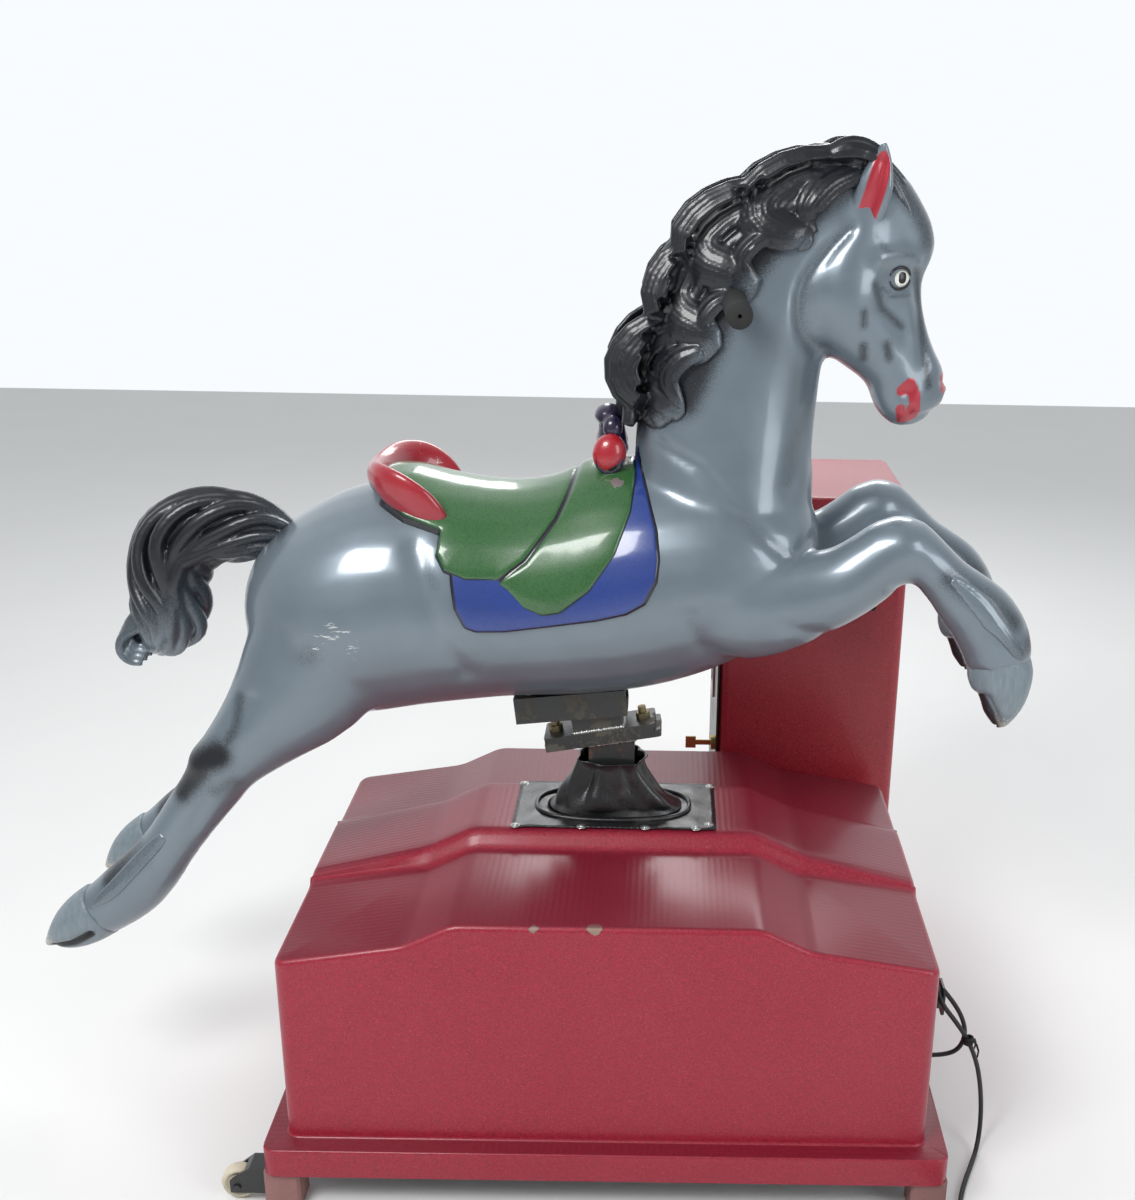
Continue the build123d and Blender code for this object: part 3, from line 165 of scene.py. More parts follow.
# %% Shader expressions
class Value:
    """One output socket, with arithmetic that adds Math nodes."""

    def __init__(self, finish, socket):
        self.finish, self.socket = finish, socket

    def _math(self, operation, *others):
        return self.finish.node("ShaderNodeMath", {"operation": operation}, dict(enumerate((self, *others))))

    def __add__(self, other):
        return self._math("ADD", other)

    __radd__ = __add__

    def __mul__(self, other):
        return self._math("MULTIPLY", other)

    __rmul__ = __mul__

    def __sub__(self, other):
        return self._math("SUBTRACT", other)

    def __rsub__(self, other):
        return self * -1.0 + other

    def over(self, limit):
        return self._math("GREATER_THAN", limit)

    def between(self, low, high):
        """0 below low, 1 above high, smooth between them."""
        settings = {"interpolation_type": "SMOOTHSTEP"}
        return self.finish.node("ShaderNodeMapRange", settings, {0: self, 1: low, 2: high})

    def wave(self, length):
        """A sine of this value, in metres, with a wavelength."""
        return (self * (2 * pi / length))._math("SINE")


class Finish:
    """A material: one Principled shader, its fixed values, and the nodes that vary over the surface."""

    def __init__(self, name, **fixed):
        self.material = bpy.data.materials.new(name)
        self.material.use_nodes = True
        self.tree = self.material.node_tree
        self.shader = self.tree.nodes["Principled BSDF"]
        for socket, value in fixed.items():
            self.shader.inputs[socket.replace("_", " ")].default_value = value
        self.place = self.node("ShaderNodeTexCoord", output="Object")

    def node(self, kind, settings=None, inputs=None, output=0):
        made = self.tree.nodes.new(kind)
        for name, value in (settings or {}).items():
            setattr(made, name, value)
        for socket, value in (inputs or {}).items():
            if isinstance(value, Value):
                self.tree.links.new(value.socket, made.inputs[socket])
            else:
                made.inputs[socket].default_value = value
        return Value(self, made.outputs[output])

    def noise(self, scale, detail=3.0, roughness=0.5, place=None):
        inputs = {"Vector": place or self.place, "Scale": scale, "Detail": detail, "Roughness": roughness}
        return self.node("ShaderNodeTexNoise", None, inputs)

    def flakes(self, scale):
        """A random value for each small cell."""
        cells = self.node("ShaderNodeTexVoronoi", None, {"Vector": self.place, "Scale": scale}, "Color")
        return self.node("ShaderNodeSeparateColor", None, {0: cells})

    def axes(self):
        """X, Y and Z of the place, as three values."""
        made = self.node("ShaderNodeSeparateXYZ", None, {0: self.place})
        return [Value(self, made.socket.node.outputs[k]) for k in range(3)]

    def stretched(self, scale, turn=(0, 0, 0)):
        return self.node("ShaderNodeMapping", None, {"Vector": self.place, "Scale": scale, "Rotation": turn})

    def attribute(self, name):
        return self.node("ShaderNodeAttribute", {"attribute_name": name}, None, "Fac")

    def mix(self, share, low, high):
        """A colour between two."""
        low, high = ((*c, 1) if isinstance(c, tuple) else c for c in (low, high))
        return self.node("ShaderNodeMix", {"data_type": "RGBA"}, {0: share, 6: low, 7: high}, 2)

    def near_point(self, point, radius):
        """1 at a point, falling to 0 at a radius."""
        distance = self.node("ShaderNodeVectorMath", {"operation": "DISTANCE"}, {0: self.place, 1: point}, 1)
        return 1 - distance.between(0, radius)

    def spots(self, points, radius):
        """Sum of near_point over several points."""
        total = self.near_point(points[0], radius)
        for point in points[1:]:
            total = total + self.near_point(point, radius)
        return total

    def color(self, value):
        self.tree.links.new(value.socket, self.shader.inputs["Base Color"])

    def vary(self, socket, value):
        self.tree.links.new(value.socket, self.shader.inputs[socket])

    def bump(self, height, depth, strength=1.0):
        inputs = {"Height": height, "Distance": depth, "Strength": strength}
        self.tree.links.new(
            self.node("ShaderNodeBump", None, inputs, "Normal").socket, self.shader.inputs["Normal"]
        )


print("shader helpers ready")

# %% [markdown]
# The box and the cabinet are gelcoat with coarse metal flake: a deep crimson full of small bright and dark
# grains that also stand up a little. Worn edges and two chips show the pale glass below. On the box, faces
# that look up are painted darker, a painted reflection of the dark surroundings; they are also smoother than
# the sides, and the front ledges carry faint moulded ribs.

# %% Red gelcoat
def gelcoat(name, dark, bright, chips=(), ribs=False):
    finish = Finish(name, Coat_Roughness=0.2, Coat_IOR=1.45)
    grain = finish.flakes(620) * 0.6 + finish.noise(420, 2) * 0.6
    broad = finish.noise(5, 4, 0.6)
    body = finish.mix(grain.between(0.25, 0.85) * 0.75 + broad * 0.25, dark, bright)
    glint = finish.flakes(1100).over(0.965)
    body = finish.mix(glint * 0.20, body, (0.80, 0.20, 0.20))
    dirt = finish.noise(34, 6, 0.7).between(0.60, 0.80) * 0.35
    body = finish.mix(dirt, body, (0.10, 0.010, 0.018))
    height = grain
    if chips:
        edge = finish.spots(chips, 0.016) + (finish.noise(160, 5, 0.7) - 0.5) * 1.1
        chip = edge.between(0.62, 0.68)
        body = finish.mix(chip, body, (0.30, 0.20, 0.16))
        height = height - chip * 4.0
    # ribs also turns on a painted reflection: faces that look up are painted darker, besides getting ribs
    if ribs:
        x, y, z = finish.axes()
        ends = x._math("ABSOLUTE").over(0.29)
        middle = 1 - x._math("ABSOLUTE").between(0.16, 0.20)
        up = finish.node("ShaderNodeNewGeometry", None, None, "Normal")
        up = Value(finish, finish.node("ShaderNodeSeparateXYZ", None, {0: up}).socket.node.outputs[2])
        facing_up_ribs_and_reflection = up.between(0.80, 0.95)
        height = height * (1 - facing_up_ribs_and_reflection * 0.75) + (y.wave(0.009) * ends + x.wave(0.009) * middle) * facing_up_ribs_and_reflection * 0.22
        # painted reflection: faces that look up are darkened, standing in for the dark surroundings seen in them
        body = finish.mix(facing_up_ribs_and_reflection * 0.62, body, (0.12, 0.004, 0.014))
    finish.color(body)
    finish.vary("Roughness", 0.34 + grain * 0.16)
    finish.vary("Coat Weight", 0.25 + broad * 0.35)
    finish.bump(height, 0.0005, 0.8)
    return finish.material


chips = [(-0.098, -0.300, 0.447), (-0.014, -0.300, 0.447), (-0.02, -0.298, 0.449)]
gelcoat_red = gelcoat("gelcoat_box", (0.215, 0.003, 0.016), (0.385, 0.008, 0.036), chips, ribs=True)
gelcoat_cabinet = gelcoat("gelcoat_cabinet", (0.25, 0.005, 0.014), (0.44, 0.018, 0.034))
print("gelcoat", gelcoat_red.name, gelcoat_cabinet.name)

# %% [markdown]
# The horse is sprayed: glossy blue-grey with a little metal in it, and black dusted over the mane, the
# tail, the hocks and the creases. How dark each place is comes from an attribute that the sculpting writes,
# broken up by fine spray dots at its edge. Red is brushed into the ears, nostrils and mouth. Chips and
# scratches show white primer on the rump.

# %% Horse paint
def sprayed(name, base=(0.170, 0.212, 0.248), scratches=()):
    finish = Finish(name, Coat_Roughness=0.12, Coat_IOR=1.5)
    dark, red = finish.attribute("dark"), finish.attribute("red")
    cloud = finish.noise(7, 5, 0.6)
    coat = finish.mix(cloud, tuple(0.80 * c for c in base), tuple(1.22 * c for c in base))
    dots = finish.noise(900, 2, 0.6)
    spray = (dark * 1.25 + (dots - 0.5) * 1.3 * dark.between(0.02, 0.25)).between(0.18, 1.05)
    coat = finish.mix(spray, coat, (0.008, 0.009, 0.013))
    coat = finish.mix((red + (dots - 0.5) * 0.25).between(0.35, 0.65), coat, (0.42, 0.022, 0.040))
    height = dots * 0.25 + finish.noise(60, 3) * 0.2
    if scratches:
        torn = finish.noise(0.9, 8, 0.72, finish.stretched((30, 30, 120), (0, 0.35, 0)))
        nick = (finish.spots(scratches, 0.060).between(0.0, 0.9) * 0.20 + torn).between(0.775, 0.795)
        coat = finish.mix(nick, coat, (0.62, 0.66, 0.66))
        height = height - nick
    finish.color(coat)
    finish.vary("Metallic", 0.30 - spray * 0.25)
    finish.vary("Roughness", 0.30 + cloud * 0.10 + spray * 0.06)
    finish.vary("Coat Weight", 0.75 - spray * 0.40)
    finish.bump(height, 0.0004, 0.5)
    return finish.material


rump_marks = [(-0.46, -0.09, 0.80), (-0.40, -0.13, 0.79), (-0.50, -0.07, 0.77), (-0.36, -0.15, 0.79)]
horse_paint = sprayed("horse_paint", scratches=rump_marks)
hair_paint = sprayed("hair_paint")
print("horse paint", horse_paint.name)

# %% [markdown]
# The saddle colours are brushed on in one piece with black lines between them. One maker gives each colour
# its own speckle, edge line and chips; the line's strength is again an attribute.

# %% Saddle paint, eye and hoof
def brushed(name, base, speckle, chip_share=0.0):
    finish = Finish(name, Coat_Roughness=0.10, Coat_IOR=1.5)
    dots, cloud = finish.noise(520, 3, 0.7), finish.noise(16, 4)
    coat = finish.mix(dots.between(0.40, 0.72) * speckle + cloud * 0.25, base, tuple(0.35 * c for c in base))
    line = (finish.attribute("dark") + (dots - 0.5) * 0.3).between(0.35, 0.75)
    coat = finish.mix(line, coat, (0.005, 0.005, 0.010))
    if chip_share:
        chip = finish.noise(46, 8, 0.75).between(1 - chip_share, 1.02 - chip_share)
        coat = finish.mix(chip, coat, (0.66, 0.62, 0.58))
    finish.color(coat)
    finish.vary("Roughness", 0.28 + cloud * 0.12)
    finish.vary("Coat Weight", 0.7 + dots * 0.1)
    finish.bump(dots + cloud, 0.0003, 0.5)
    return finish.material


seat_green = brushed("seat_green", (0.040, 0.145, 0.040), 0.75)
pad_blue = brushed("pad_blue", (0.022, 0.055, 0.270), 0.45)
cantle_red = brushed("cantle_red", (0.40, 0.016, 0.030), 0.30, chip_share=0.36)
pommel_red = brushed("pommel_red", (0.42, 0.012, 0.024), 0.15, chip_share=0.30)
horn_dark = brushed("horn_dark", (0.020, 0.012, 0.045), 0.4)


def eye_paint():
    """White, and black where the piece's own dark value marks the pupil."""
    finish = Finish("eye_paint", Roughness=0.32, Coat_Weight=0.15)
    white = finish.mix(finish.noise(90), (0.80, 0.80, 0.72), (0.90, 0.90, 0.84))
    finish.color(finish.mix(finish.attribute("dark").between(0.45, 0.55), white, (0.004, 0.004, 0.006)))
    return finish.material


def hoof_paint():
    """Grey-blue horn with fine upright lines, dark at the cleft and speckled bare at the worn tip."""
    finish = Finish("hoof_paint", Coat_Roughness=0.2)
    dots = finish.noise(300, 5, 0.7)
    lines = finish.noise(30, 4, 0.6, finish.stretched((6, 6, 1)))
    coat = finish.mix(lines, (0.11, 0.15, 0.18), (0.26, 0.31, 0.34))
    coat = finish.mix((dots + finish.attribute("red") * 0.35).between(0.68, 0.80), coat, (0.44, 0.42, 0.36))
    coat = finish.mix(finish.attribute("dark").between(0.3, 0.8), coat, (0.010, 0.010, 0.014))
    finish.color(coat)
    finish.vary("Roughness", 0.35 + dots * 0.3)
    finish.vary("Coat Weight", 0.55 - dots * 0.3)
    finish.bump(dots + lines, 0.0007, 0.7)
    return finish.material


eye_white, hoof_horn = eye_paint(), hoof_paint()
print("saddle colours", [m.name for m in (seat_green, pad_blue, cantle_red, pommel_red, horn_dark)])

# %% [markdown]
# Black steel is brushed enamel that has chipped to rust along its edges. Bare steel shows fine turning
# lines, castings are grainy, and the moulded plastics and rubbers are matt with their own small texture.

# %% Metals, plastics and rubbers
def enamel(name, base, worn, wear=0.5, rough=0.42):
    finish = Finish(name, Coat_Roughness=0.25)
    patches, fine = finish.noise(26, 7, 0.68), finish.noise(240, 4)
    share = (patches + fine * 0.18).between(0.80 - 0.30 * wear, 0.88 - 0.30 * wear)
    coat = finish.mix(fine, base, tuple(1.7 * c + 0.004 for c in base))
    finish.color(finish.mix(share, coat, worn))
    finish.vary("Roughness", rough + share * 0.35)
    finish.vary("Coat Weight", 0.35 - share * 0.35)
    finish.bump(fine * 0.6 + patches - share * 0.5, 0.0006, 0.7)
    return finish.material


def bright(name, base, rough=0.3, lines=(900, 60, 60)):
    finish = Finish(name)
    turning = finish.noise(1.0, 3, 0.5, finish.stretched(lines))
    stain = finish.noise(30, 6, 0.65).between(0.52, 0.75)
    finish.color(finish.mix(stain * 0.6, base, tuple(0.35 * c for c in base)))
    finish.vary("Metallic", 0.95 - stain * 0.35)
    finish.vary("Roughness", rough + turning * 0.15 + stain * 0.2)
    finish.bump(turning, 0.0002, 0.5)
    return finish.material


def moulded(name, base, rough=0.5, grain=500, depth=0.0003):
    finish = Finish(name)
    fine, dust = finish.noise(grain, 3), finish.noise(18, 5, 0.65)
    finish.color(finish.mix(dust.between(0.35, 0.8) * 0.6, base, tuple(1.6 * c + 0.012 for c in base)))
    finish.vary("Roughness", rough + dust * 0.2)
    finish.bump(fine, depth, 0.7)
    return finish.material


black_steel = enamel("black_steel", (0.010, 0.011, 0.011), (0.095, 0.050, 0.026), 0.42)
plate_steel = enamel("plate_steel", (0.012, 0.014, 0.013), (0.085, 0.080, 0.062), 0.62, 0.36)
motor_enamel = enamel("motor_enamel", (0.10, 0.14, 0.17), (0.14, 0.07, 0.03), 0.3)
bright_steel = bright("bright_steel", (0.55, 0.55, 0.53))
rusty_bolt = bright("rusty_bolt", (0.32, 0.26, 0.15), 0.5)
brass_key = bright("brass_key", (0.45, 0.33, 0.12), 0.35)
bronze = bright("bronze", (0.55, 0.33, 0.12))
cast_iron = enamel("cast_iron", (0.06, 0.07, 0.075), (0.10, 0.055, 0.03), 0.35, 0.55)
black_plastic = moulded("black_plastic", (0.014, 0.014, 0.015))
black_rubber = moulded("black_rubber", (0.010, 0.010, 0.010), 0.62, 260, 0.0005)
lead_black = moulded("lead_black", (0.012, 0.012, 0.013), 0.45, 900)
tyre_cream = moulded("tyre_cream", (0.52, 0.47, 0.36), 0.6, 180, 0.0006)
panel_pale = moulded("panel_pale", (0.48, 0.56, 0.50), 0.35)
button_red = moulded("button_red", (0.45, 0.02, 0.02), 0.25)
block_grey = moulded("block_grey", (0.24, 0.12, 0.11), 0.7, 120, 0.001)


def leather():
    """Black imitation leather: pebbled, creased, and greyer where it is rubbed."""
    finish = Finish("boot_leather", Coat_Roughness=0.3)
    pebbles = finish.node("ShaderNodeTexVoronoi", None, {"Vector": finish.place, "Scale": 420.0}, "Distance")
    rubbed = finish.noise(24, 6, 0.65).between(0.50, 0.78)
    finish.color(finish.mix(rubbed, (0.009, 0.009, 0.010), (0.060, 0.058, 0.056)))
    finish.vary("Roughness", 0.30 + rubbed * 0.25)
    finish.vary("Coat Weight", 0.5 - rubbed * 0.3)
    finish.bump(pebbles * 0.5 + finish.noise(45, 4) * 1.4, 0.0009, 0.7)
    return finish.material


boot_leather = leather()
print("materials", len(bpy.data.materials))

# %% [markdown]
# Most CAD pieces keep their exact shape and only get a finish: the frame, the drive, the fittings.

# %% Finishes for the pieces that stay
kept = {
    black_steel: "frame_long_rails frame_end_rails bearing_rails drive_plate wheel_brackets gearbox_stand "
    "rocker_column cabinet_strap door_hinge_pins cord_hanger",
    plate_steel: "mount_channel",
    motor_enamel: "motor_body transformer",
    bright_steel: "rocker_shaft lever_pin channel_bolts crank connecting_rod worm handlebar coin_mechanism "
    "cash_box return_cup coin_plate",
    bronze: "worm_wheel",
    cast_iron: "pillow_blocks gearbox_housing gearbox_pulley motor_pulley",
    black_plastic: "terminal_box timer_box cabinet_feet",
    black_rubber: "drive_belt",
    panel_pale: "notice_panel",
    button_red: "start_button return_button",
    block_grey: "foot_blocks",
}


def dress_nodes(material, names):
    """Give one finish to some CAD nodes."""
    for name in names.split():
        nodes[name].data.materials.clear()
        nodes[name].data.materials.append(material)


for material, names in kept.items():
    dress_nodes(material, names)
print("finished CAD pieces", sum(len(names.split()) for names in kept.values()))

# %% Dress the lead
mains_lead.data.materials.append(lead_black)
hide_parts("cord_tube", "cord_coil")
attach(mains_lead, "base")
dress_nodes(black_plastic, "cord_plug")
print("lead dressed")

# %% [markdown]
# The box is one thin moulded shell. Its roof profile is drawn once from a few points, carried back through
# six stations so that the middle strip rises, closed front and back, rounded edge by edge, and turned out
# at the bottom into the flange. Solidify then gives the fibreglass its wall.

# %% Helpers for meshes
def finish_mesh(bm, name, material, body, replaces=(), smooth=True):
    """Turn a bmesh into a piece that rides on a body, or on none yet."""
    mesh = bpy.data.meshes.new(name)
    bm.to_mesh(mesh)
    bm.free()
    mesh.materials.append(material)
    if smooth:
        mesh.shade_smooth()
    piece = bpy.data.objects.new(name, mesh)
    bpy.context.scene.collection.objects.link(piece)
    if replaces:
        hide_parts(*replaces)
    if body:
        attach(piece, body)
    return piece


def modify(piece, kind, **settings):
    modifier = piece.modifiers.new(kind.title(), kind)
    for name, value in settings.items():
        setattr(modifier, name, value)
    return modifier


def bake_modifiers(piece):
    """Replace a piece's mesh by its modified mesh, and drop the modifiers."""
    bpy.context.view_layer.update()
    graph = bpy.context.evaluated_depsgraph_get()
    mesh = bpy.data.meshes.new_from_object(piece.evaluated_get(graph), depsgraph=graph)
    piece.modifiers.clear()
    piece.data = mesh
    return piece


def sharp_by_angle(piece, angle=35):
    """Smooth shading that stays sharp over edges steeper than an angle."""
    bm = bmesh.new()
    bm.from_mesh(piece.data)
    for edge in bm.edges:
        edge.smooth = len(edge.link_faces) == 2 and edge.calc_face_angle(0) < radians(angle)
    for face in bm.faces:
        face.smooth = True
    bm.to_mesh(piece.data)
    bm.free()
    return piece


def round_edges(bm, choose, width, segments=4):
    edges = [e for e in bm.edges if choose(e)]
    bmesh.ops.bevel(
        bm, geom=edges, offset=width, offset_type="OFFSET", segments=segments, profile=0.5, affect="EDGES",
        clamp_overlap=True, material=-1,
    )  # fmt: skip
    return len(edges)


def block(bm, low, high):
    """A box between two corners, added to a bmesh; returns its vertices."""
    low, high = Vector(low), Vector(high)
    size = high - low
    place = Matrix.Translation((low + high) / 2) @ Matrix.Diagonal((*size, 1))
    return bmesh.ops.create_cube(bm, size=1, matrix=place)["verts"]


def turned(bm, profile, origin, axis, steps=32):
    """Spin a profile of (along, radius) pairs about an axis through a point."""
    axis = Vector(axis).normalized()
    side = axis.orthogonal().normalized()
    origin = Vector(origin)
    verts = [bm.verts.new(origin + axis * along + side * radius) for along, radius in profile]
    edges = [bm.edges.new(pair) for pair in zip(verts, verts[1:])]
    made = bmesh.ops.spin(
        bm, geom=verts + edges, cent=origin, axis=axis, angle=2 * pi, steps=steps, use_merge=True
    )
    bmesh.ops.remove_doubles(bm, verts=bm.verts, dist=1e-6)
    bmesh.ops.recalc_face_normals(bm, faces=bm.faces)
    return made


# %% Box shell
half_length, front, rear = 450, -301, 261
roof_profile = [
    (-half_length, 105), (-half_length, 387), (-274, 415), (-207, 448),
    (207, 448), (274, 415), (half_length, 387), (half_length, 105),
]  # fmt: skip
strip_rise = {-274: 26, -207: 26, 207: 26, 274: 26, -half_length: 10, half_length: 10}

bm = bmesh.new()
row = [bm.verts.new((x * MM, front * MM, z * MM)) for x, z in roof_profile]
line = [bm.edges.new(pair) for pair in zip(row, row[1:])]
cap = bmesh.ops.contextual_create(bm, geom=row)["faces"][0]
ends = [cap]
line = [e for e in bm.edges if not all(abs(v.co.z - 0.105) < 1e-6 for v in e.verts)]
stations = [(-98, 0), (-78, 1), (78, 1), (98, 0), (rear, 0)]
place_y, raised = front, 0
for y, rise in stations:
    made = bmesh.ops.extrude_edge_only(bm, edges=line)["geom"]
    row = [v for v in made if isinstance(v, bmesh.types.BMVert)]
    line = [e for e in made if isinstance(e, bmesh.types.BMEdge) and all(v in row for v in e.verts)]
    bmesh.ops.translate(bm, verts=row, vec=(0, (y - place_y) * MM, 0))
    for v in row:
        if v.co.z > 0.106:
            v.co.z += strip_rise[round(v.co.x * 1000)] * (rise - raised) * MM
    place_y, raised = y, rise
bmesh.ops.contextual_create(bm, geom=row)
bmesh.ops.recalc_face_normals(bm, faces=bm.faces)


def steep(edge, low, high):
    return len(edge.link_faces) == 2 and radians(low) < edge.calc_face_angle(0) < radians(high)


def upright(edge):
    a, b = (v.co for v in edge.verts)
    return abs(a.x - b.x) < 1e-5 and abs(a.y - b.y) < 1e-5 and abs(a.z - b.z) > 0.05


soft = round_edges(bm, lambda e: steep(e, 4, 60) and max(v.co.z for v in e.verts) > 0.39, 0.014, 3)
corner = round_edges(bm, lambda e: upright(e) and steep(e, 60, 120), 0.018, 5)
rim = round_edges(bm, lambda e: steep(e, 45, 130) and min(v.co.z for v in e.verts) > 0.3, 0.008, 4)
print("box edges rounded", soft, corner, rim)

# The flange: the open bottom edge turns outwards, then down.
bmesh.ops.remove_doubles(bm, verts=bm.verts, dist=1e-5)
bottom = [e for e in bm.edges if len(e.link_faces) == 1]
middle_y = (front + rear) / 2


def spread(verts, out, down):
    """Move a rim away from the box's middle and down, in millimetres."""
    for v in verts:
        share = min(1, abs(v.co.x) / 0.449) if abs(v.co.x) > 0.43 else 0
        v.co.x += out * MM * (1 if v.co.x > 0 else -1) * share
        far = abs(v.co.y * 1000 - middle_y)
        v.co.y += out * MM * (1 if v.co.y * 1000 > middle_y else -1) * (1 if far > 262 else 0)
        v.co.z -= down * MM


for out, down in ((3, 1), (26, 0), (0, 44)):
    made = bmesh.ops.extrude_edge_only(bm, edges=bottom)["geom"]
    rim_verts = [v for v in made if isinstance(v, bmesh.types.BMVert)]
    bottom = [e for e in made if isinstance(e, bmesh.types.BMEdge) and all(v in rim_verts for v in e.verts)]
    spread(rim_verts, out, down)
lip = [e for e in bm.edges if steep(e, 60, 120) and all(0.09 < v.co.z < 0.11 for v in e.verts)]
bmesh.ops.bevel(
    bm, geom=lip, offset=0.006, offset_type="OFFSET", segments=3, profile=0.5, affect="EDGES",
    clamp_overlap=True, material=-1,
)  # fmt: skip

# The opening that the column swings in is cut square; the boot plate covers its corners.
slot_x, slot_y, roof_z = 0.107, 0.052, 0.46
for side in (-1, 1):
    for place, normal in (((side * slot_x, 0, 0), (1, 0, 0)), ((0, side * slot_y, 0), (0, 1, 0))):
        everything = bm.verts[:] + bm.edges[:] + bm.faces[:]
        bmesh.ops.bisect_plane(bm, geom=everything, plane_co=place, plane_no=normal)


def over_slot(face):
    x, y, z = face.calc_center_median()
    return z > roof_z and abs(x) < slot_x and abs(y) < slot_y


hole = [f for f in bm.faces if over_slot(f)]
bmesh.ops.delete(bm, geom=hole, context="FACES")
bmesh.ops.recalc_face_normals(bm, faces=bm.faces)
box_shell = finish_mesh(bm, "box_shell", gelcoat_red, "base", ["base_cover"])
modify(box_shell, "SOLIDIFY", thickness=0.005, offset=-1)
sharp_by_angle(box_shell, 32)
print("box shell", len(box_shell.data.polygons), "faces")

# %% [markdown]
# The cabinet is the same gelcoat: a tall box with rounded corners, open on the side that the door closes.

# %% Cabinet
shell_low, shell_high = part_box("cabinet_shell")
bm = bmesh.new()
block(bm, shell_low, shell_high)
round_edges(bm, upright, 0.016, 5)
top_z = shell_high[2]
round_edges(bm, lambda e: steep(e, 60, 120) and all(v.co.z > top_z - 0.001 for v in e.verts), 0.010, 4)
door_faces = [f for f in bm.faces if f.normal.x < -0.99]
bmesh.ops.inset_region(bm, faces=door_faces, thickness=0.010, use_even_offset=True)
bmesh.ops.delete(bm, geom=door_faces, context="FACES")
cabinet = finish_mesh(bm, "cabinet_case", gelcoat_cabinet, "base", ["cabinet_shell"])
modify(cabinet, "SOLIDIFY", thickness=0.005, offset=-1)
sharp_by_angle(cabinet, 32)
print("cabinet", len(cabinet.data.polygons), "faces")


# %% [markdown]
# A soft light from above and to the left, a weaker one from the right and one from behind give the long
# highlights that gloss paint shows. The surround is a pale wall behind and dimmer in front, so that the
# dark paints stay dark. The floor is plain.

# %% Light and floor
def area_light(name, place, aim, size, power, tint=(1, 1, 1)):
    data = bpy.data.lights.new(name, "AREA")
    data.shape, data.size, data.size_y, data.energy, data.color = "RECTANGLE", *size, power, tint
    lamp = bpy.data.objects.new(name, data)
    bpy.context.scene.collection.objects.link(lamp)
    turn = (Vector(aim) - Vector(place)).to_track_quat("-Z", "Y").to_matrix().to_4x4()
    lamp.matrix_world = Matrix.Translation(place) @ turn
    return lamp


area_light("key", (-1.4, -2.0, 2.9), (0, 0, 0.8), (1.4, 1.0), 78)
area_light("fill", (2.2, -1.9, 1.6), (0, 0, 0.7), (1.0, 1.6), 24, (0.94, 0.97, 1))
area_light("back", (0.4, 2.4, 2.6), (0, 0, 0.8), (2.0, 0.8), 40)
bpy.context.scene.view_settings.view_transform = "Standard"
world = bpy.data.worlds.new("studio")
bpy.context.scene.world = world
world.use_nodes = True
nodes_of, links_of = world.node_tree.nodes, world.node_tree.links
direction = nodes_of.new("ShaderNodeTexCoord").outputs["Generated"]
split = nodes_of.new("ShaderNodeSeparateXYZ")
links_of.new(direction, split.inputs[0])
depth = nodes_of.new("ShaderNodeMapRange")
depth.inputs["From Min"].default_value, depth.inputs["From Max"].default_value = -0.3, 0.6
depth.inputs["To Min"].default_value, depth.inputs["To Max"].default_value = 0.28, 1.0
links_of.new(split.outputs["Y"], depth.inputs["Value"])
backdrop = nodes_of["Background"]
backdrop.inputs["Color"].default_value = (0.94, 0.97, 1.0, 1)
links_of.new(depth.outputs["Result"], backdrop.inputs["Strength"])

bm = bmesh.new()
bmesh.ops.create_grid(bm, x_segments=1, y_segments=1, size=6, matrix=Matrix.Translation((0, 0, -0.0005)))
mesh = bpy.data.meshes.new("floor")
bm.to_mesh(mesh)
bm.free()
floor = bpy.data.objects.new("floor", mesh)
bpy.context.scene.collection.objects.link(floor)
floor_paint = Finish("floor_paint", Roughness=0.8)
floor_paint.color(floor_paint.mix(floor_paint.noise(3), (0.80, 0.80, 0.79), (0.84, 0.84, 0.83)))
mesh.materials.append(floor_paint.material)
print("lights and floor")

# %% [markdown]
# The horse is modelled the way a clay figure is built up. Rings are drawn along the torso, neck, head and
# legs, bridged into closed tubes and pushed into each other. A voxel remesh melts them into one skin, a
# few rounds of smoothing take the seams away, and then muscles, creases and the face are pushed in and out
# along the skin. Sizes in the tables are millimetres, so that they read like a maker's drawing.

# %% Rings and tubes
def smooth_rows(rows, count):
    """Rows of numbers, resampled along a Catmull-Rom spline."""
    rows = np.array(rows, float)
    t = np.linspace(0, len(rows) - 1, count)
    i = np.clip(t.astype(int), 0, len(rows) - 2)
    f = (t - i)[:, None]
    a, b = rows[np.maximum(i - 1, 0)], rows[i]
    c, d = rows[i + 1], rows[np.minimum(i + 2, len(rows) - 1)]
    return 0.5 * (2 * b + (c - a) * f + (2 * a - 5 * b + 4 * c - d) * f**2 + (3 * b - a - 3 * c + d) * f**3)


def tube(bm, rings, segments=28, egg=0.0):
    """A closed tube through rings of (centre, half axis, other half axis), narrower at the axis's far end."""
    before = None
    for centre, along, across in rings:
        along, across = Vector(along) * MM, Vector(across) * MM
        square = Matrix((along, across, along.cross(across).normalized())).transposed().to_4x4()
        place = Matrix.Translation(Vector(centre) * MM) @ square
        verts = bmesh.ops.create_circle(bm, radius=1, segments=segments, matrix=place)["verts"]
        if egg:
            for v in verts:
                reach = v.co - Vector(centre) * MM
                share = reach.dot(along) / along.length_squared
                v.co -= across * (reach.dot(across) / across.length_squared) * egg * share
        edges = list({e for v in verts for e in v.link_edges})
        if before is None:
            bmesh.ops.contextual_create(bm, geom=edges)
        else:
            bmesh.ops.bridge_loops(bm, edges=before + edges)
        before = edges
    bmesh.ops.contextual_create(bm, geom=before)
    bmesh.ops.recalc_face_normals(bm, faces=bm.faces)


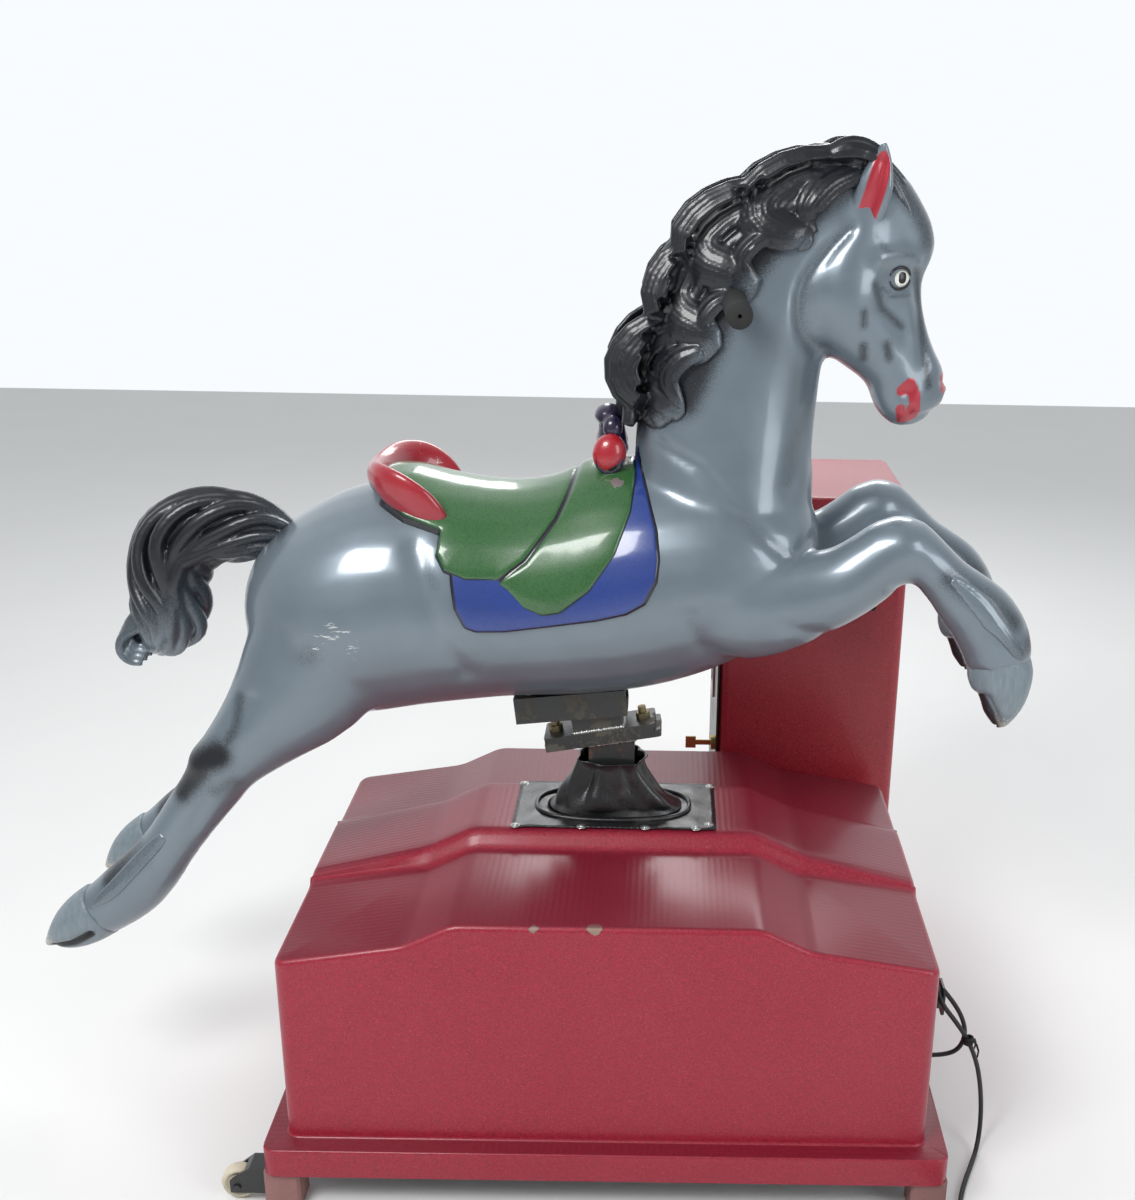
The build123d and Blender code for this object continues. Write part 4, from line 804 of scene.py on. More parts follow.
def limb_rings(rows, side, count):
    """Rings square to a limb's run, from rows of x, z, half thickness, half width and side offset."""
    rows = smooth_rows(rows, count)
    rings = []
    for k, (x, z, thick, half, offset) in enumerate(rows):
        after, before = rows[min(k + 1, count - 1)], rows[max(k - 1, 0)]
        run = Vector((after[0] - before[0], 0, after[1] - before[1])).normalized()
        rings.append(((x, side * offset, z), (-run.z * thick, 0, run.x * thick), (0, half, 0)))
    return rings


torso_rows = [
    (-530, 765, 826, 34), (-508, 702, 876, 86), (-455, 652, 924, 126), (-372, 635, 966, 148),
    (-270, 650, 980, 149), (-150, 664, 968, 141), (-50, 668, 984, 139), (50, 682, 1010, 144),
    (140, 712, 1016, 141), (215, 755, 1000, 120), (262, 815, 970, 84), (284, 866, 930, 34),
]  # fmt: skip
neck_rows = [
    (850, 20, 266, 104), (930, 22, 271, 106), (1020, 24, 271, 94), (1096, 26, 274, 84),
    (1178, 34, 284, 78), (1249, 62, 318, 72), (1328, 96, 345, 66), (1385, 168, 350, 54), (1420, 235, 325, 34),
]  # fmt: skip
head_rows = [
    (1410, 296, 352, 26), (1388, 276, 376, 44), (1356, 262, 398, 56), (1322, 252, 413, 64),
    (1282, 240, 408, 68), (1248, 238, 408, 68), (1212, 246, 416, 64), (1182, 264, 428, 56),
    (1154, 304, 442, 46), (1130, 338, 452, 41), (1108, 348, 450, 40), (1086, 360, 434, 33),
    (1071, 380, 414, 16),
]  # fmt: skip
hind_rows = [
    (-380, 800, 112, 60, 72), (-440, 705, 96, 60, 86), (-500, 640, 66, 52, 98), (-547, 592, 50, 42, 104),
    (-576, 550, 44, 37, 107), (-606, 510, 41, 33, 109), (-640, 462, 39, 32, 110), (-672, 420, 43, 36, 111),
    (-703, 388, 46, 38, 111), (-735, 362, 43, 37, 112), (-760, 345, 40, 36, 112),
]  # fmt: skip
fore_rows = [
    (110, 850, 92, 54, 74), (160, 836, 84, 56, 82), (217, 834, 72, 54, 88), (304, 864, 54, 46, 96),
    (350, 896, 49, 42, 100), (387, 922, 47, 41, 103), (424, 904, 37, 35, 105), (450, 880, 36, 34, 106),
    (476, 855, 43, 38, 107), (502, 830, 48, 41, 108), (524, 796, 49, 42, 109), (533, 762, 46, 41, 109),
]  # fmt: skip

bm = bmesh.new()
rings = [
    ((x, 0, (low + high) / 2), (0, 0, (high - low) / 2), (0, half, 0))
    for x, low, high, half in smooth_rows(torso_rows, 40)
]
tube(bm, rings)
for rows, egg in ((neck_rows, 0.0), (head_rows, 0.34)):
    rings = [
        (((back + front) / 2, 0, z), ((front - back) / 2, 0, 0), (0, half, 0))
        for z, back, front, half in smooth_rows(rows, 36)
    ]
    tube(bm, rings, egg=egg)
for side in (-1, 1):
    tube(bm, limb_rings(hind_rows, side, 30))
    tube(bm, limb_rings(fore_rows, side, 34))
skin = bpy.data.meshes.new("horse_body")
bm.to_mesh(skin)
bm.free()
horse = bpy.data.objects.new("horse_body", skin)
bpy.context.scene.collection.objects.link(horse)
VOXEL = 0.0058
modify(horse, "REMESH", mode="VOXEL", voxel_size=VOXEL)
modify(horse, "SMOOTH", factor=0.6, iterations=14)
bake_modifiers(horse)
print("horse skin", len(horse.data.vertices), "points")


# %% [markdown]
# Sculpting works on all points at once. A stroke is a line drawn on the horse's side; its effect fades with
# the distance from the line, on both flanks alike. The same strokes press creases in and spray them dark.

# %% Strokes
class Clay:
    """A mesh's points and normals as arrays, with soft pushes and painted values."""

    def __init__(self, piece):
        self.mesh = piece.data
        count = len(self.mesh.vertices)
        self.co, self.normal = np.empty(count * 3), np.empty(count * 3)
        self.mesh.vertices.foreach_get("co", self.co)
        self.mesh.vertex_normals.foreach_get("vector", self.normal)
        self.co, self.normal = self.co.reshape(-1, 3), self.normal.reshape(-1, 3)
        self.paint = {"dark": np.zeros(count), "red": np.zeros(count)}

    def far(self, path, y=None):
        """Distance in millimetres to a line drawn in x and z, on either side; y keeps it near one depth."""
        points = self.co[:, (0, 2)] * 1000
        path = np.array(path, float)
        best = np.full(len(points), 1e9)
        if len(path) == 1:
            best = np.linalg.norm(points - path[0], axis=1)
        for a, b in zip(path, path[1:]):
            run = b - a
            share = np.clip(((points - a) @ run) / (run @ run), 0, 1)
            best = np.minimum(best, np.linalg.norm(points - a - share[:, None] * run, axis=1))
        if y is not None:
            best = np.hypot(best, np.maximum(y - np.abs(self.co[:, 1]) * 1000, 0))
        return best

    def fade(self, path, width, y=None):
        return np.exp(-((self.far(path, y) / width) ** 2))

    def push(self, path, width, amount, y=None):
        self.co += self.normal * (self.fade(path, width, y) * amount * MM)[:, None]

    def spray(self, name, path, width, strength, y=None):
        value = self.fade(path, width, y) * strength
        self.paint[name] = np.maximum(self.paint[name], value)

    def done(self):
        self.mesh.vertices.foreach_set("co", self.co.ravel())
        for name, value in self.paint.items():
            layer = self.mesh.attributes.new(name, "FLOAT", "POINT")
            layer.data.foreach_set("value", np.clip(value, 0, 1))
        self.mesh.update()


clay = Clay(horse)
jaw = [
    (297, 1335), (276, 1313), (257, 1289), (244, 1268), (239, 1246), (240, 1223), (246, 1200), (262, 1181),
    (282, 1170),
]  # fmt: skip
eye_at = (370, 1273)
# What stands out: cheek, brow, shoulder, forearm, knee, thigh, hock point.
for path, width, amount, y in (
    ([(300, 1255)], 42, 5, 30), ([(340, 1300), (366, 1303), (388, 1294)], 11, 7, 36),
    ([(196, 905), (150, 870)], 70, 7, 60), ([(320, 870), (360, 905)], 30, 3, 60),
    ([(392, 936)], 22, 4, 60), ([(-400, 800)], 90, 5, 70), ([(-590, 600)], 18, 5, 60),
    ([(412, 1300), (400, 1345), (372, 1385)], 22, 8, None), ([(395, 1230), (425, 1160)], 12, 3, 20),
    ([(-330, 900)], 90, 4, 60), ([(262, 1000), (258, 940)], 22, 4, 20), ([(430, 1150)], 14, 3, 12),
):  # fmt: skip
    clay.push(path, width, amount, y)
# What is pressed in: behind the jaw, round the eye, along the face, the mouth, the folds of the legs.
for path, width, amount, y in (
    (jaw, 9, -7, 40), ([eye_at], 15, -5, 36), ([(346, 1262), (352, 1288)], 8, -2, 36),
    ([(395, 1262), (404, 1215), (414, 1165)], 8, -3, 24), ([(352, 1236), (384, 1200)], 16, -3, 30),
    ([(392, 1100), (404, 1084), (440, 1092)], 5, -4, None), ([(392, 1122)], 9, -5, 18),
    ([(445, 1132)], 7, -4, None),
    ([(53, 1053), (112, 1027), (174, 960), (237, 905), (268, 925)], 10, -4, 60),
    ([(-268, 915), (-252, 864), (-235, 793), (-205, 740)], 16, -5, 60),
    ([(104, 831), (118, 788), (160, 757)], 14, -4, 60),
    ([(262, 1150), (256, 1060), (240, 1000)], 14, -4, 40),
    ([(-500, 700), (-530, 655), (-545, 620)], 12, -4, 60), ([(-560, 570), (-600, 500)], 9, -3, 70),
    ([(372, 872), (405, 862)], 10, -3, 60), ([(232, 820), (290, 800)], 12, -3, 60),
):  # fmt: skip
    clay.push(path, width, amount, y)

# Black dust: creases, hocks, fetlocks, mane bed, cheek dapples; red in nostril and mouth.
for path, width, strength, y in (
    (jaw, 13, 0.42, 30), ([(243, 1219), (262, 1147), (258, 1100), (240, 1048), (232, 1004)], 15, 0.36, 30),
    ([(322, 1232), (323, 1214)], 8, 0.62, 30), ([(334, 1268), (346, 1236), (377, 1210)], 8, 0.60, 30),
    ([(325, 1186), (327, 1170)], 9, 0.68, 30), ([(357, 1188), (362, 1170)], 9, 0.66, 30),
    ([(393, 1282), (401, 1245), (409, 1193), (421, 1130)], 8, 0.62, 14), ([(-412, 768)], 26, 0.40, 60),
    ([(-606, 585), (-575, 604), (-550, 616)], 25, 0.95, None),
    ([(-610, 556), (-580, 590)], 22, 0.85, None),
    ([(-545, 622), (-522, 660), (-515, 700)], 12, 0.55, None),
    ([(-560, 560), (-530, 575)], 16, 0.45, None), ([(-690, 470), (-730, 410)], 17, 0.70, None),
    ([(450, 890), (500, 860), (540, 830)], 20, 0.60, 60), ([(575, 800)], 24, 0.7, None),
    ([(20, 1080), (90, 1110), (120, 1180), (150, 1255), (200, 1320), (260, 1370), (300, 1410)], 26, 0.85, None),
    ([(10, 1150), (40, 1250), (100, 1350), (200, 1410)], 46, 1.0, None),
    ([(-470, 915), (-500, 900)], 16, 0.65, None), ([(-263, 926), (-240, 870)], 14, 0.34, 60),
    ([(104, 825), (130, 775)], 14, 0.30, 60), ([(174, 960), (237, 905)], 14, 0.30, 60),
    ([(345, 1262), (360, 1250), (385, 1252)], 5, 0.5, 30),
    ([(330, 1330), (350, 1306), (386, 1303)], 5, 0.42, 30),
    ([(300, 1420), (340, 1405), (372, 1385), (395, 1352), (412, 1318)], 22, 0.55, None),
    ([(300, 790), (240, 800)], 12, 0.3, 60),
):  # fmt: skip
    clay.spray("dark", path, width, strength, y)
for path, width, strength, y in (
    ([(384, 1125), (394, 1134), (402, 1118), (404, 1092), (392, 1086)], 8, 1.3, 8),
    ([(446, 1140), (448, 1124)], 8, 1.2, None), ([(384, 1100), (388, 1084)], 7, 1.2, 8),
):  # fmt: skip
    clay.spray("red", path, width, strength, y)
clay.done()
horse.data.materials.clear()
horse.data.materials.append(horse_paint)
horse.data.shade_smooth()
modify(horse, "SMOOTH", factor=0.4, iterations=2)
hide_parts("horse_shell_left", "horse_shell_right")
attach(horse, "rocker")
corners = [v.co for v in horse.data.vertices]
body_tree = BVHTree.FromPolygons(corners, [p.vertices for p in horse.data.polygons])
print("horse sculpted")


# %% [markdown]
# Hair is carved in locks. A lock is a bundle of round strands that follow one S-shaped line, spread out
# side by side, swell in the middle and run together at the tip. Each strand is a tube of rings; where a
# lock lies on the skin, its line is lifted from the skin by a ray, so it follows the neck's roundness.

# %% Locks of hair
def on_skin(x, z, side, lift):
    """The horse's skin at x and z in millimetres, seen from one side, lifted outwards."""
    start = Vector((x * MM, side * 0.4, z * MM))
    hit = body_tree.ray_cast(start, Vector((0, -side, 0)))[0]
    if not hit:
        hit = body_tree.find_nearest(Vector((x * MM, side * 0.12, z * MM)))[0]
    return abs(hit.y) * 1000 + lift


def strand(bm, line, radii, flat=1.0, segments=8):
    """A tube along a line of points in millimetres with a radius at each."""
    rings = []
    for k, (point, radius) in enumerate(zip(line, radii)):
        run = (Vector(line[min(k + 1, len(line) - 1)]) - Vector(line[max(k - 1, 0)])).normalized()
        out = Vector((0, 1, 0)).cross(run)
        out = out.normalized() if out.length > 1e-3 else Vector((1, 0, 0))
        other = run.cross(out).normalized()
        rings.append((point, out * radius, other * radius * flat))
    tube(bm, rings, segments=segments)


def lock(bm, path, width, side, strands=5, lift=2.0, depth=15.0, steps=18, fan=1.0, height=None):
    """A bundle of strands along a path of (x, z), on the skin of one side, or about a given half depth."""
    line = smooth_rows(path, steps)
    for s in range(strands):
        share = (s + 0.5) / strands - 0.5
        points, radii = [], []
        for k, (x, z) in enumerate(line):
            t = k / (steps - 1)
            run = line[min(k + 1, steps - 1)] - line[max(k - 1, 0)]
            run = run / (np.linalg.norm(run) + 1e-9)
            narrowing = 1 - 0.75 * max(0, t - 0.72) / 0.28 * fan
            swell = (0.30 + 0.70 * sin(pi * min(1, t * 1.15 + 0.12)) ** 0.8) * narrowing
            shift = share * width * swell
            px, pz = x - run[1] * shift, z + run[0] * shift
            crown = depth * (1 - 2.2 * share**2) * swell
            y = height(px, pz) if height else on_skin(px, pz, side, lift)
            radius = max(1.4, 0.60 * width / strands * swell)
            points.append((px, side * (y + crown - radius * 0.7), pz))
            radii.append(radius)
        strand(bm, points, radii, flat=1.35)


def hair_piece(name, build, replaces=(), voxel=0.0026, dark=0.9, smooth=3):
    """Locks melted into one carved piece, painted with a darkness that is one value or is worked out from the
    points.
    """
    bm = bmesh.new()
    build(bm)
    mesh = bpy.data.meshes.new(name)
    bm.to_mesh(mesh)
    bm.free()
    piece = bpy.data.objects.new(name, mesh)
    bpy.context.scene.collection.objects.link(piece)
    modify(piece, "REMESH", mode="VOXEL", voxel_size=voxel * 1)
    modify(piece, "SMOOTH", factor=0.5, iterations=smooth)
    bake_modifiers(piece)
    clay = Clay(piece)
    clay.paint["dark"] = np.full(len(clay.co), dark) if np.isscalar(dark) else dark(clay)
    clay.done()
    piece.data.materials.clear()
    piece.data.materials.append(hair_paint)
    piece.data.shade_smooth()
    if replaces:
        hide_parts(*replaces)
    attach(piece, "rocker")
    print(name, len(piece.data.polygons), "faces")
    return piece


mane_locks = [
    ([(86, 1216), (40, 1196), (14, 1160), (22, 1128), (52, 1112), (66, 1092), (52, 1076), (34, 1078)], 62),
    ([(112, 1180), (84, 1168), (66, 1142), (76, 1118), (88, 1100), (78, 1084)], 34),
    ([(130, 1306), (84, 1290), (62, 1252), (76, 1222), (108, 1206), (122, 1184), (108, 1166), (88, 1166)], 64),
    ([(150, 1250), (126, 1240), (112, 1216), (128, 1198), (136, 1184)], 26),
    ([(196, 1380), (140, 1362), (100, 1326), (108, 1294), (146, 1280), (172, 1262), (164, 1244), (144, 1240)], 64),
    ([(200, 1330), (176, 1318), (160, 1296), (176, 1278), (188, 1270)], 26),
    ([(296, 1418), (230, 1408), (184, 1378), (182, 1346), (214, 1330), (240, 1330), (246, 1316), (232, 1308)], 60),
    ([(312, 1408), (272, 1392), (246, 1364), (248, 1344), (256, 1330)], 40),
    ([(334, 1422), (300, 1432), (268, 1424), (252, 1404)], 34),
]  # fmt: skip


mane_back = [
    (14, 1076), (14, 1100), (12, 1130), (22, 1180), (48, 1208), (60, 1250), (76, 1300), (118, 1336),
    (148, 1370), (204, 1392), (234, 1416), (274, 1426), (312, 1420),
]  # fmt: skip
mane_front = [
    (62, 1084), (84, 1104), (86, 1140), (110, 1170), (114, 1206), (140, 1246), (160, 1276), (184, 1306),
    (222, 1318), (240, 1336), (262, 1372), (292, 1398), (316, 1410),
]  # fmt: skip


def mane(bm, side):
    """One side's locks, the bed that fills behind them, and that side's half of the crest."""
    back, front = smooth_rows(mane_back, 40), smooth_rows(mane_front, 40)
    for path, width in mane_locks:
        lock(bm, path, width, side, strands=max(4, round(width / 7.5)), depth=19)
    for share in (0.05, 0.3, 0.55, 0.8):
        bed = back * (1 - share) + front * share
        strand(bm, [(x, side * (on_skin(x, z, side, 0) + 1), z) for x, z in bed], [10.0] * 40, flat=1.0)
    for offset in (0, 10, 20, 30):
        drop = 4 + 0.013 * offset**2
        sway = [4 * sin(k * 0.7 + offset) - 10 for k in range(40)]
        line = [(x + drop + s, side * offset, z - drop + 8) for (x, z), s in zip(back, sway)]
        strand(bm, line, [9 + 2 * sin(k * 1.3 + offset) for k in range(40)], flat=1.0)


def forelock(bm):
    for side in (-1, 1):
        for k, (x, z) in enumerate(((0, 0), (-8, 2), (-18, 4))):
            path = [
                (338 + x, 1424), (366 + x, 1392 + z), (386 + x, 1362 + z), (406 + x, 1330 + z),
                (414 + x, 1306 + z),
            ]  # fmt: skip
            lock(bm, path, 20, side, strands=3, depth=5, height=lambda a, b, k=k: 6 + 13 * k, fan=0.6)


def mane_dark(clay):
    """Black, thinning to grey at the tips of the locks."""
    tips = [(60, 1080), (92, 1100), (110, 1168), (134, 1190), (150, 1242), (190, 1276), (240, 1314)]
    return 0.95 - 0.45 * clay.fade(tips, 20, 40)


for name, side in (("mane_right", -1), ("mane_left", 1)):
    hair_piece(name, lambda bm, side=side: mane(bm, side), voxel=0.0024, dark=mane_dark, smooth=2)
hair_piece("forelock", forelock, dark=0.6)

# %% [markdown]
# The tail is its own casting, stuck on at a visible seam. Sixteen strands lie round a thick core, follow one
# arch, twist slowly about it and end in a curl. The feathers over the hooves are short locks.

# %% Tail and feathered fetlocks
tail_line = [
    (-470, 884, 30), (-505, 902, 43), (-545, 908, 51), (-590, 904, 56), (-630, 882, 59), (-647, 840, 60),
    (-649, 800, 58), (-654, 768, 56), (-668, 738, 40), (-682, 722, 18),
]  # fmt: skip


def tail(bm):
    steps = 40
    line = smooth_rows(tail_line, steps)
    run = np.gradient(line[:, :2], axis=0)
    run /= np.linalg.norm(run, axis=1)[:, None]
    across = np.stack((-run[:, 1], run[:, 0]), axis=1)
    around = [(0.0, 0.0)] + [(cos(a), sin(a)) for a in np.linspace(0, 2 * pi, 17)[:-1]]
    for n, (u, v) in enumerate(around):
        points, radii = [], []
        for k in range(steps):
            t, half = k / (steps - 1), line[k, 2]
            twist = t * 2.4 + 0.35 * sin(t * 9 + n)
            a, b = u * cos(twist) - v * sin(twist), u * sin(twist) + v * cos(twist)
            reach = half * (0.82 + 0.07 * sin(t * 14 + n * 2.3))
            x, z = line[k, :2] + across[k] * a * reach
            points.append((x, b * reach * 0.74, z))
            radii.append(half * (0.72 if n == 0 else 0.19))
        strand(bm, points, radii, flat=0.75 if n == 0 else 1.0, segments=12)
    for side in (-1, 0, 1):
        curl = [(-628, 800), (-668, 778), (-704, 760), (-714, 738), (-704, 720), (-684, 716)]
        for s in range(4):
            shift = 7 * (s - 1.5)
            points = [(x + 0.4 * shift, side * 20 + 0.6 * shift, z + shift) for x, z in smooth_rows(curl, 18)]
            strand(bm, points, [3.4 + 4.8 * (1 - (k / 17) ** 3) for k in range(18)])


def feather(bm):
    for side in (-1, 1):
        for k in range(6):
            path = [(452 + 9 * k, 890 - 11 * k), (486 + 8 * k, 866 - 10 * k), (514 + 7 * k, 836 - 9 * k),
                    (530 + 6 * k, 808 - 6 * k), (516 + 7 * k, 786 - 2 * k)]  # fmt: skip
            lock(bm, path, 20, side, strands=3, depth=5, lift=-3)
        for k in range(5):
            path = [(-640 - 13 * k, 486 - 15 * k), (-668 - 13 * k, 456 - 14 * k),
                    (-704 - 11 * k, 424 - 12 * k), (-738 - 8 * k, 392 - 10 * k)]  # fmt: skip
            lock(bm, path, 20, side, strands=3, depth=5, lift=-3)


def tail_dark(clay):
    """Black over the arch, greyer at the curl."""
    arch, curl = clay.fade([(-560, 930), (-690, 860)], 70), clay.fade([(-600, 740), (-680, 720)], 40)
    return 0.55 + 0.45 * arch - 0.25 * curl


def feather_dark(clay):
    fore, hind = clay.fade([(560, 800), (590, 760)], 40), clay.fade([(-660, 470), (-750, 390)], 30)
    return 0.08 + 0.40 * fore + 0.30 * hind


hair_piece("tail", tail, ["horse_tail"], voxel=0.0024, smooth=2, dark=tail_dark)
hair_piece("fetlock_hair", feather, voxel=0.0022, smooth=1, dark=feather_dark)

# %% [markdown]
# Hooves are separate hard shapes: a tapering horn box with a wedge cut into its sole.

# %% Hooves
fore_hoof = [
    (531, 772, 42, 38, 109), (537, 744, 45, 41, 109), (540, 712, 36, 38, 110), (538, 684, 22, 30, 110),
    (535, 664, 7, 18, 110),
]  # fmt: skip
hind_hoof = [
    (-752, 352, 42, 37, 112), (-778, 334, 40, 38, 112), (-804, 316, 32, 34, 112), (-826, 302, 18, 26, 112),
    (-838, 297, 7, 16, 112),
]  # fmt: skip
bm = bmesh.new()
for side in (-1, 1):
    tube(bm, limb_rings(fore_hoof, side, 14))
    tube(bm, limb_rings(hind_hoof, side, 14))
hooves = finish_mesh(bm, "hooves", hoof_horn, "rocker")
modify(hooves, "REMESH", mode="VOXEL", voxel_size=0.0028)
modify(hooves, "SMOOTH", factor=0.5, iterations=3)
bake_modifiers(hooves)
clay = Clay(hooves)
for path, width in (([(510, 716), (524, 692), (534, 668)], 8), ([(-762, 324), (-790, 306), (-824, 296)], 7)):
    clay.push(path, width, -12)
    clay.spray("dark", path, width, 1.0)
for path in ([(540, 668)], [(-836, 298)]):
    clay.spray("red", path, 26, 1.0)
clay.done()
hooves.data.materials.clear()
hooves.data.materials.append(hoof_horn)
hooves.data.shade_smooth()
print("hooves", len(hooves.data.polygons))

# %% [markdown]
# Each ear is a cupped leaf; each eye is a white almond, set between two lids, with a pupil.

# %% Ears and eyes
bm = bmesh.new()
for side in (-1, 1):
    rows = [
        (1330, 317, 18, 40), (1356, 320, 25, 48), (1384, 326, 24, 55), (1410, 331, 17, 59),
        (1430, 334, 9, 60), (1441, 335, 3, 60),
    ]  # fmt: skip
    rings = [
        ((x, side * y, z), (half, side * half * 0.25, 0), (0, 8 + half * 0.25, 0))
        for z, x, half, y in smooth_rows(rows, 20)
    ]
    tube(bm, rings, segments=20)
ears = finish_mesh(bm, "ears", horse_paint, "rocker")
modify(ears, "REMESH", mode="VOXEL", voxel_size=0.0022)
modify(ears, "SMOOTH", factor=0.5, iterations=3)
bake_modifiers(ears)
clay = Clay(ears)
facing = np.clip(clay.normal[:, 1] * np.sign(clay.co[:, 1]), 0, 1)
cup = clay.fade([(318, 1350), (326, 1380), (334, 1418)], 11) * facing
clay.co -= clay.normal * (cup * 0.009)[:, None]
clay.paint["red"] = np.clip(cup * 2.4, 0, 1)
clay.done()
ears.data.materials.clear()
ears.data.materials.append(horse_paint)
ears.data.shade_smooth()

bm = bmesh.new()
for side in (-1, 1):
    y = on_skin(*eye_at, side, -3.5)
    place = Matrix.Translation(Vector((eye_at[0], side * y, eye_at[1])) * MM)
    place = place @ Matrix.Rotation(radians(-20 * side), 4, "Z")
    place = place @ Matrix.Diagonal((0.0140, 0.0085, 0.0150, 1))
    bmesh.ops.create_icosphere(bm, subdivisions=5, radius=1, matrix=place)
eyes = finish_mesh(bm, "eyes", eye_white, "rocker")
clay = Clay(eyes)
spot = clay.far([(eye_at[0] + 3, eye_at[1] - 2), (eye_at[0] + 3, eye_at[1] + 3)])
clay.paint["dark"] = np.clip(5.6 - spot, 0, 1)
clay.done()

bm = bmesh.new()
for side in (-1, 1):
    for rise in (1, -1):
        turns = np.linspace(0.06 * pi, 0.94 * pi, 16)
        line = []
        for a in turns:
            y = on_skin(eye_at[0] + 13 * cos(a), eye_at[1] + rise * 12 * sin(a), side, 1.0)
            line.append((eye_at[0] + 15 * cos(a), side * y, eye_at[1] + rise * 14 * sin(a)))
        strand(bm, line, [1.0 + 1.5 * sin(a) for a in turns], flat=1.6)
lids = finish_mesh(bm, "eyelids", horse_paint, "rocker")
clay = Clay(lids)
clay.paint["dark"] = np.full(len(clay.co), 0.9)
clay.done()
modify(lids, "SUBSURF", levels=1, render_levels=1)
print("ears, eyes and lids")

# %% [markdown]
# The saddle is moulded over the back in two layers: the blue pad, then the green seat with its flaps. Each
# layer is a fine grid wrapped round the barrel by rays from its middle line. Inside the layer's outline it
# stands off the skin, and outside it dives below, so every edge comes out round, as in a mould. Black lines
# are brushed along the edges and along the seam of the flap.

# %% Saddle layers
def inside(points, outline):
    """True where a point lies inside an outline, both in x and z."""
    x, z = points.T
    found = np.zeros(len(points), bool)
    for (ax, az), (bx, bz) in zip(outline, outline[1:] + outline[:1]):
        crosses = (az > z) != (bz > z)
        found ^= crosses & (x < (bx - ax) * (z - az) / (bz - az + 1e-12) + ax)
    return found


pad_outline = [
    (-222, 900), (-220, 872), (-215, 838), (-202, 811), (-186, 804), (-146, 804), (-84, 812), (-24, 821),
    (18, 832), (44, 848), (60, 880), (63, 910), (59, 945), (46, 985), (34, 1018), (20, 1090), (-120, 1100),
    (-205, 1000),
]  # fmt: skip
seat_outline = [
    (-237, 930), (-240, 906), (-228, 886), (-198, 874), (-163, 873), (-145, 862), (-121, 838), (-97, 828),
    (-70, 833), (-31, 862), (4, 910), (24, 960), (29, 998), (22, 1025), (8, 1050), (0, 1120), (-330, 1120),
    (-345, 1000), (-322, 962), (-285, 944),
]  # fmt: skip
flap_seam = [(-26, 1080), (-36, 1035), (-50, 992), (-80, 942), (-119, 897), (-158, 872)]


def saddle_layer(name, outline, lift, material, line_width, bumps=(), seams=(), skirt=5.0):
    """One moulded layer over the back; returns its piece."""
    length, wrap = (-360, 76), radians(128)
    per = 2.6
    count_x, count_a = round((length[1] - length[0]) / per), round(2 * wrap * 150 / per)
    bm = bmesh.new()
    bmesh.ops.create_grid(bm, x_segments=count_x, y_segments=count_a, size=1)
    for v in bm.verts:
        x = (length[0] + (v.co.x + 1) / 2 * (length[1] - length[0])) * MM
        angle = v.co.y * wrap
        centre, ray = Vector((x, 0, 0.835)), Vector((0, sin(angle), cos(angle)))
        hit = body_tree.ray_cast(centre, ray, 0.24)[0]
        v.co = hit if hit else centre + ray * 0.24
    mesh = bpy.data.meshes.new(name)
    bmesh.ops.recalc_face_normals(bm, faces=bm.faces)
    bm.to_mesh(mesh)
    bm.free()
    piece = bpy.data.objects.new(name, mesh)
    bpy.context.scene.collection.objects.link(piece)
    clay = Clay(piece)
    points = clay.co[:, (0, 2)] * 1000
    edge = clay.far(outline + outline[:1]) * np.where(inside(points, outline), 1, -1)
    rise = np.clip((edge + skirt) / (2 * skirt), 0, 1)
    rise = rise * rise * (3 - 2 * rise)
    crown = 1 - np.exp(-np.clip(edge, 0, None) / 14)
    outward = clay.co - np.array((0, 0, 0.835)) * (1, 0, 1)
    outward[:, 0] = 0
    outward /= np.linalg.norm(outward, axis=1)[:, None]
    height = -7 + rise * (7 + lift * (0.62 + 0.38 * crown))
    for path, width, amount, y in bumps:
        height += clay.fade(path, width, y) * amount * rise
    line = np.exp(-((np.clip(np.abs(edge - 0.5), 0, None) / line_width) ** 2))
    for path, width in seams:
        height -= clay.fade(path, width) * 3.0
        line = np.maximum(line, clay.fade(path, width * 1.1))
    clay.co += outward * (height * MM)[:, None]
    clay.paint["dark"] = line
    clay.done()
    bm = bmesh.new()
    bm.from_mesh(mesh)
    bm.verts.ensure_lookup_table()
    gone = [bm.verts[i] for i in np.nonzero(edge < -skirt - 3)[0]]
    bmesh.ops.delete(bm, geom=gone, context="VERTS")
    bm.to_mesh(mesh)
    bm.free()
    mesh.materials.append(material)
    mesh.shade_smooth()
    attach(piece, "rocker")
    print(name, len(mesh.polygons), "faces")
    return piece


saddle_layer("saddle_pad", pad_outline, 6.5, pad_blue, 6.5)
swell = [
    ([(-40, 1000), (-20, 1010)], 34, 16, None), ([(-160, 870), (-100, 834)], 12, -2, None),
    ([(-330, 985), (-290, 1000)], 40, 14, None),
]  # fmt: skip
seat = saddle_layer("saddle_seat", seat_outline, 13.5, seat_green, 4.0, bumps=swell, seams=[(flap_seam, 3.2)])
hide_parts("saddle")

# %% [markdown]
# The cantle is a leaf-shaped rim that stands up behind the seat; the pommel is a pair of red swells with a
# dark horn on top.

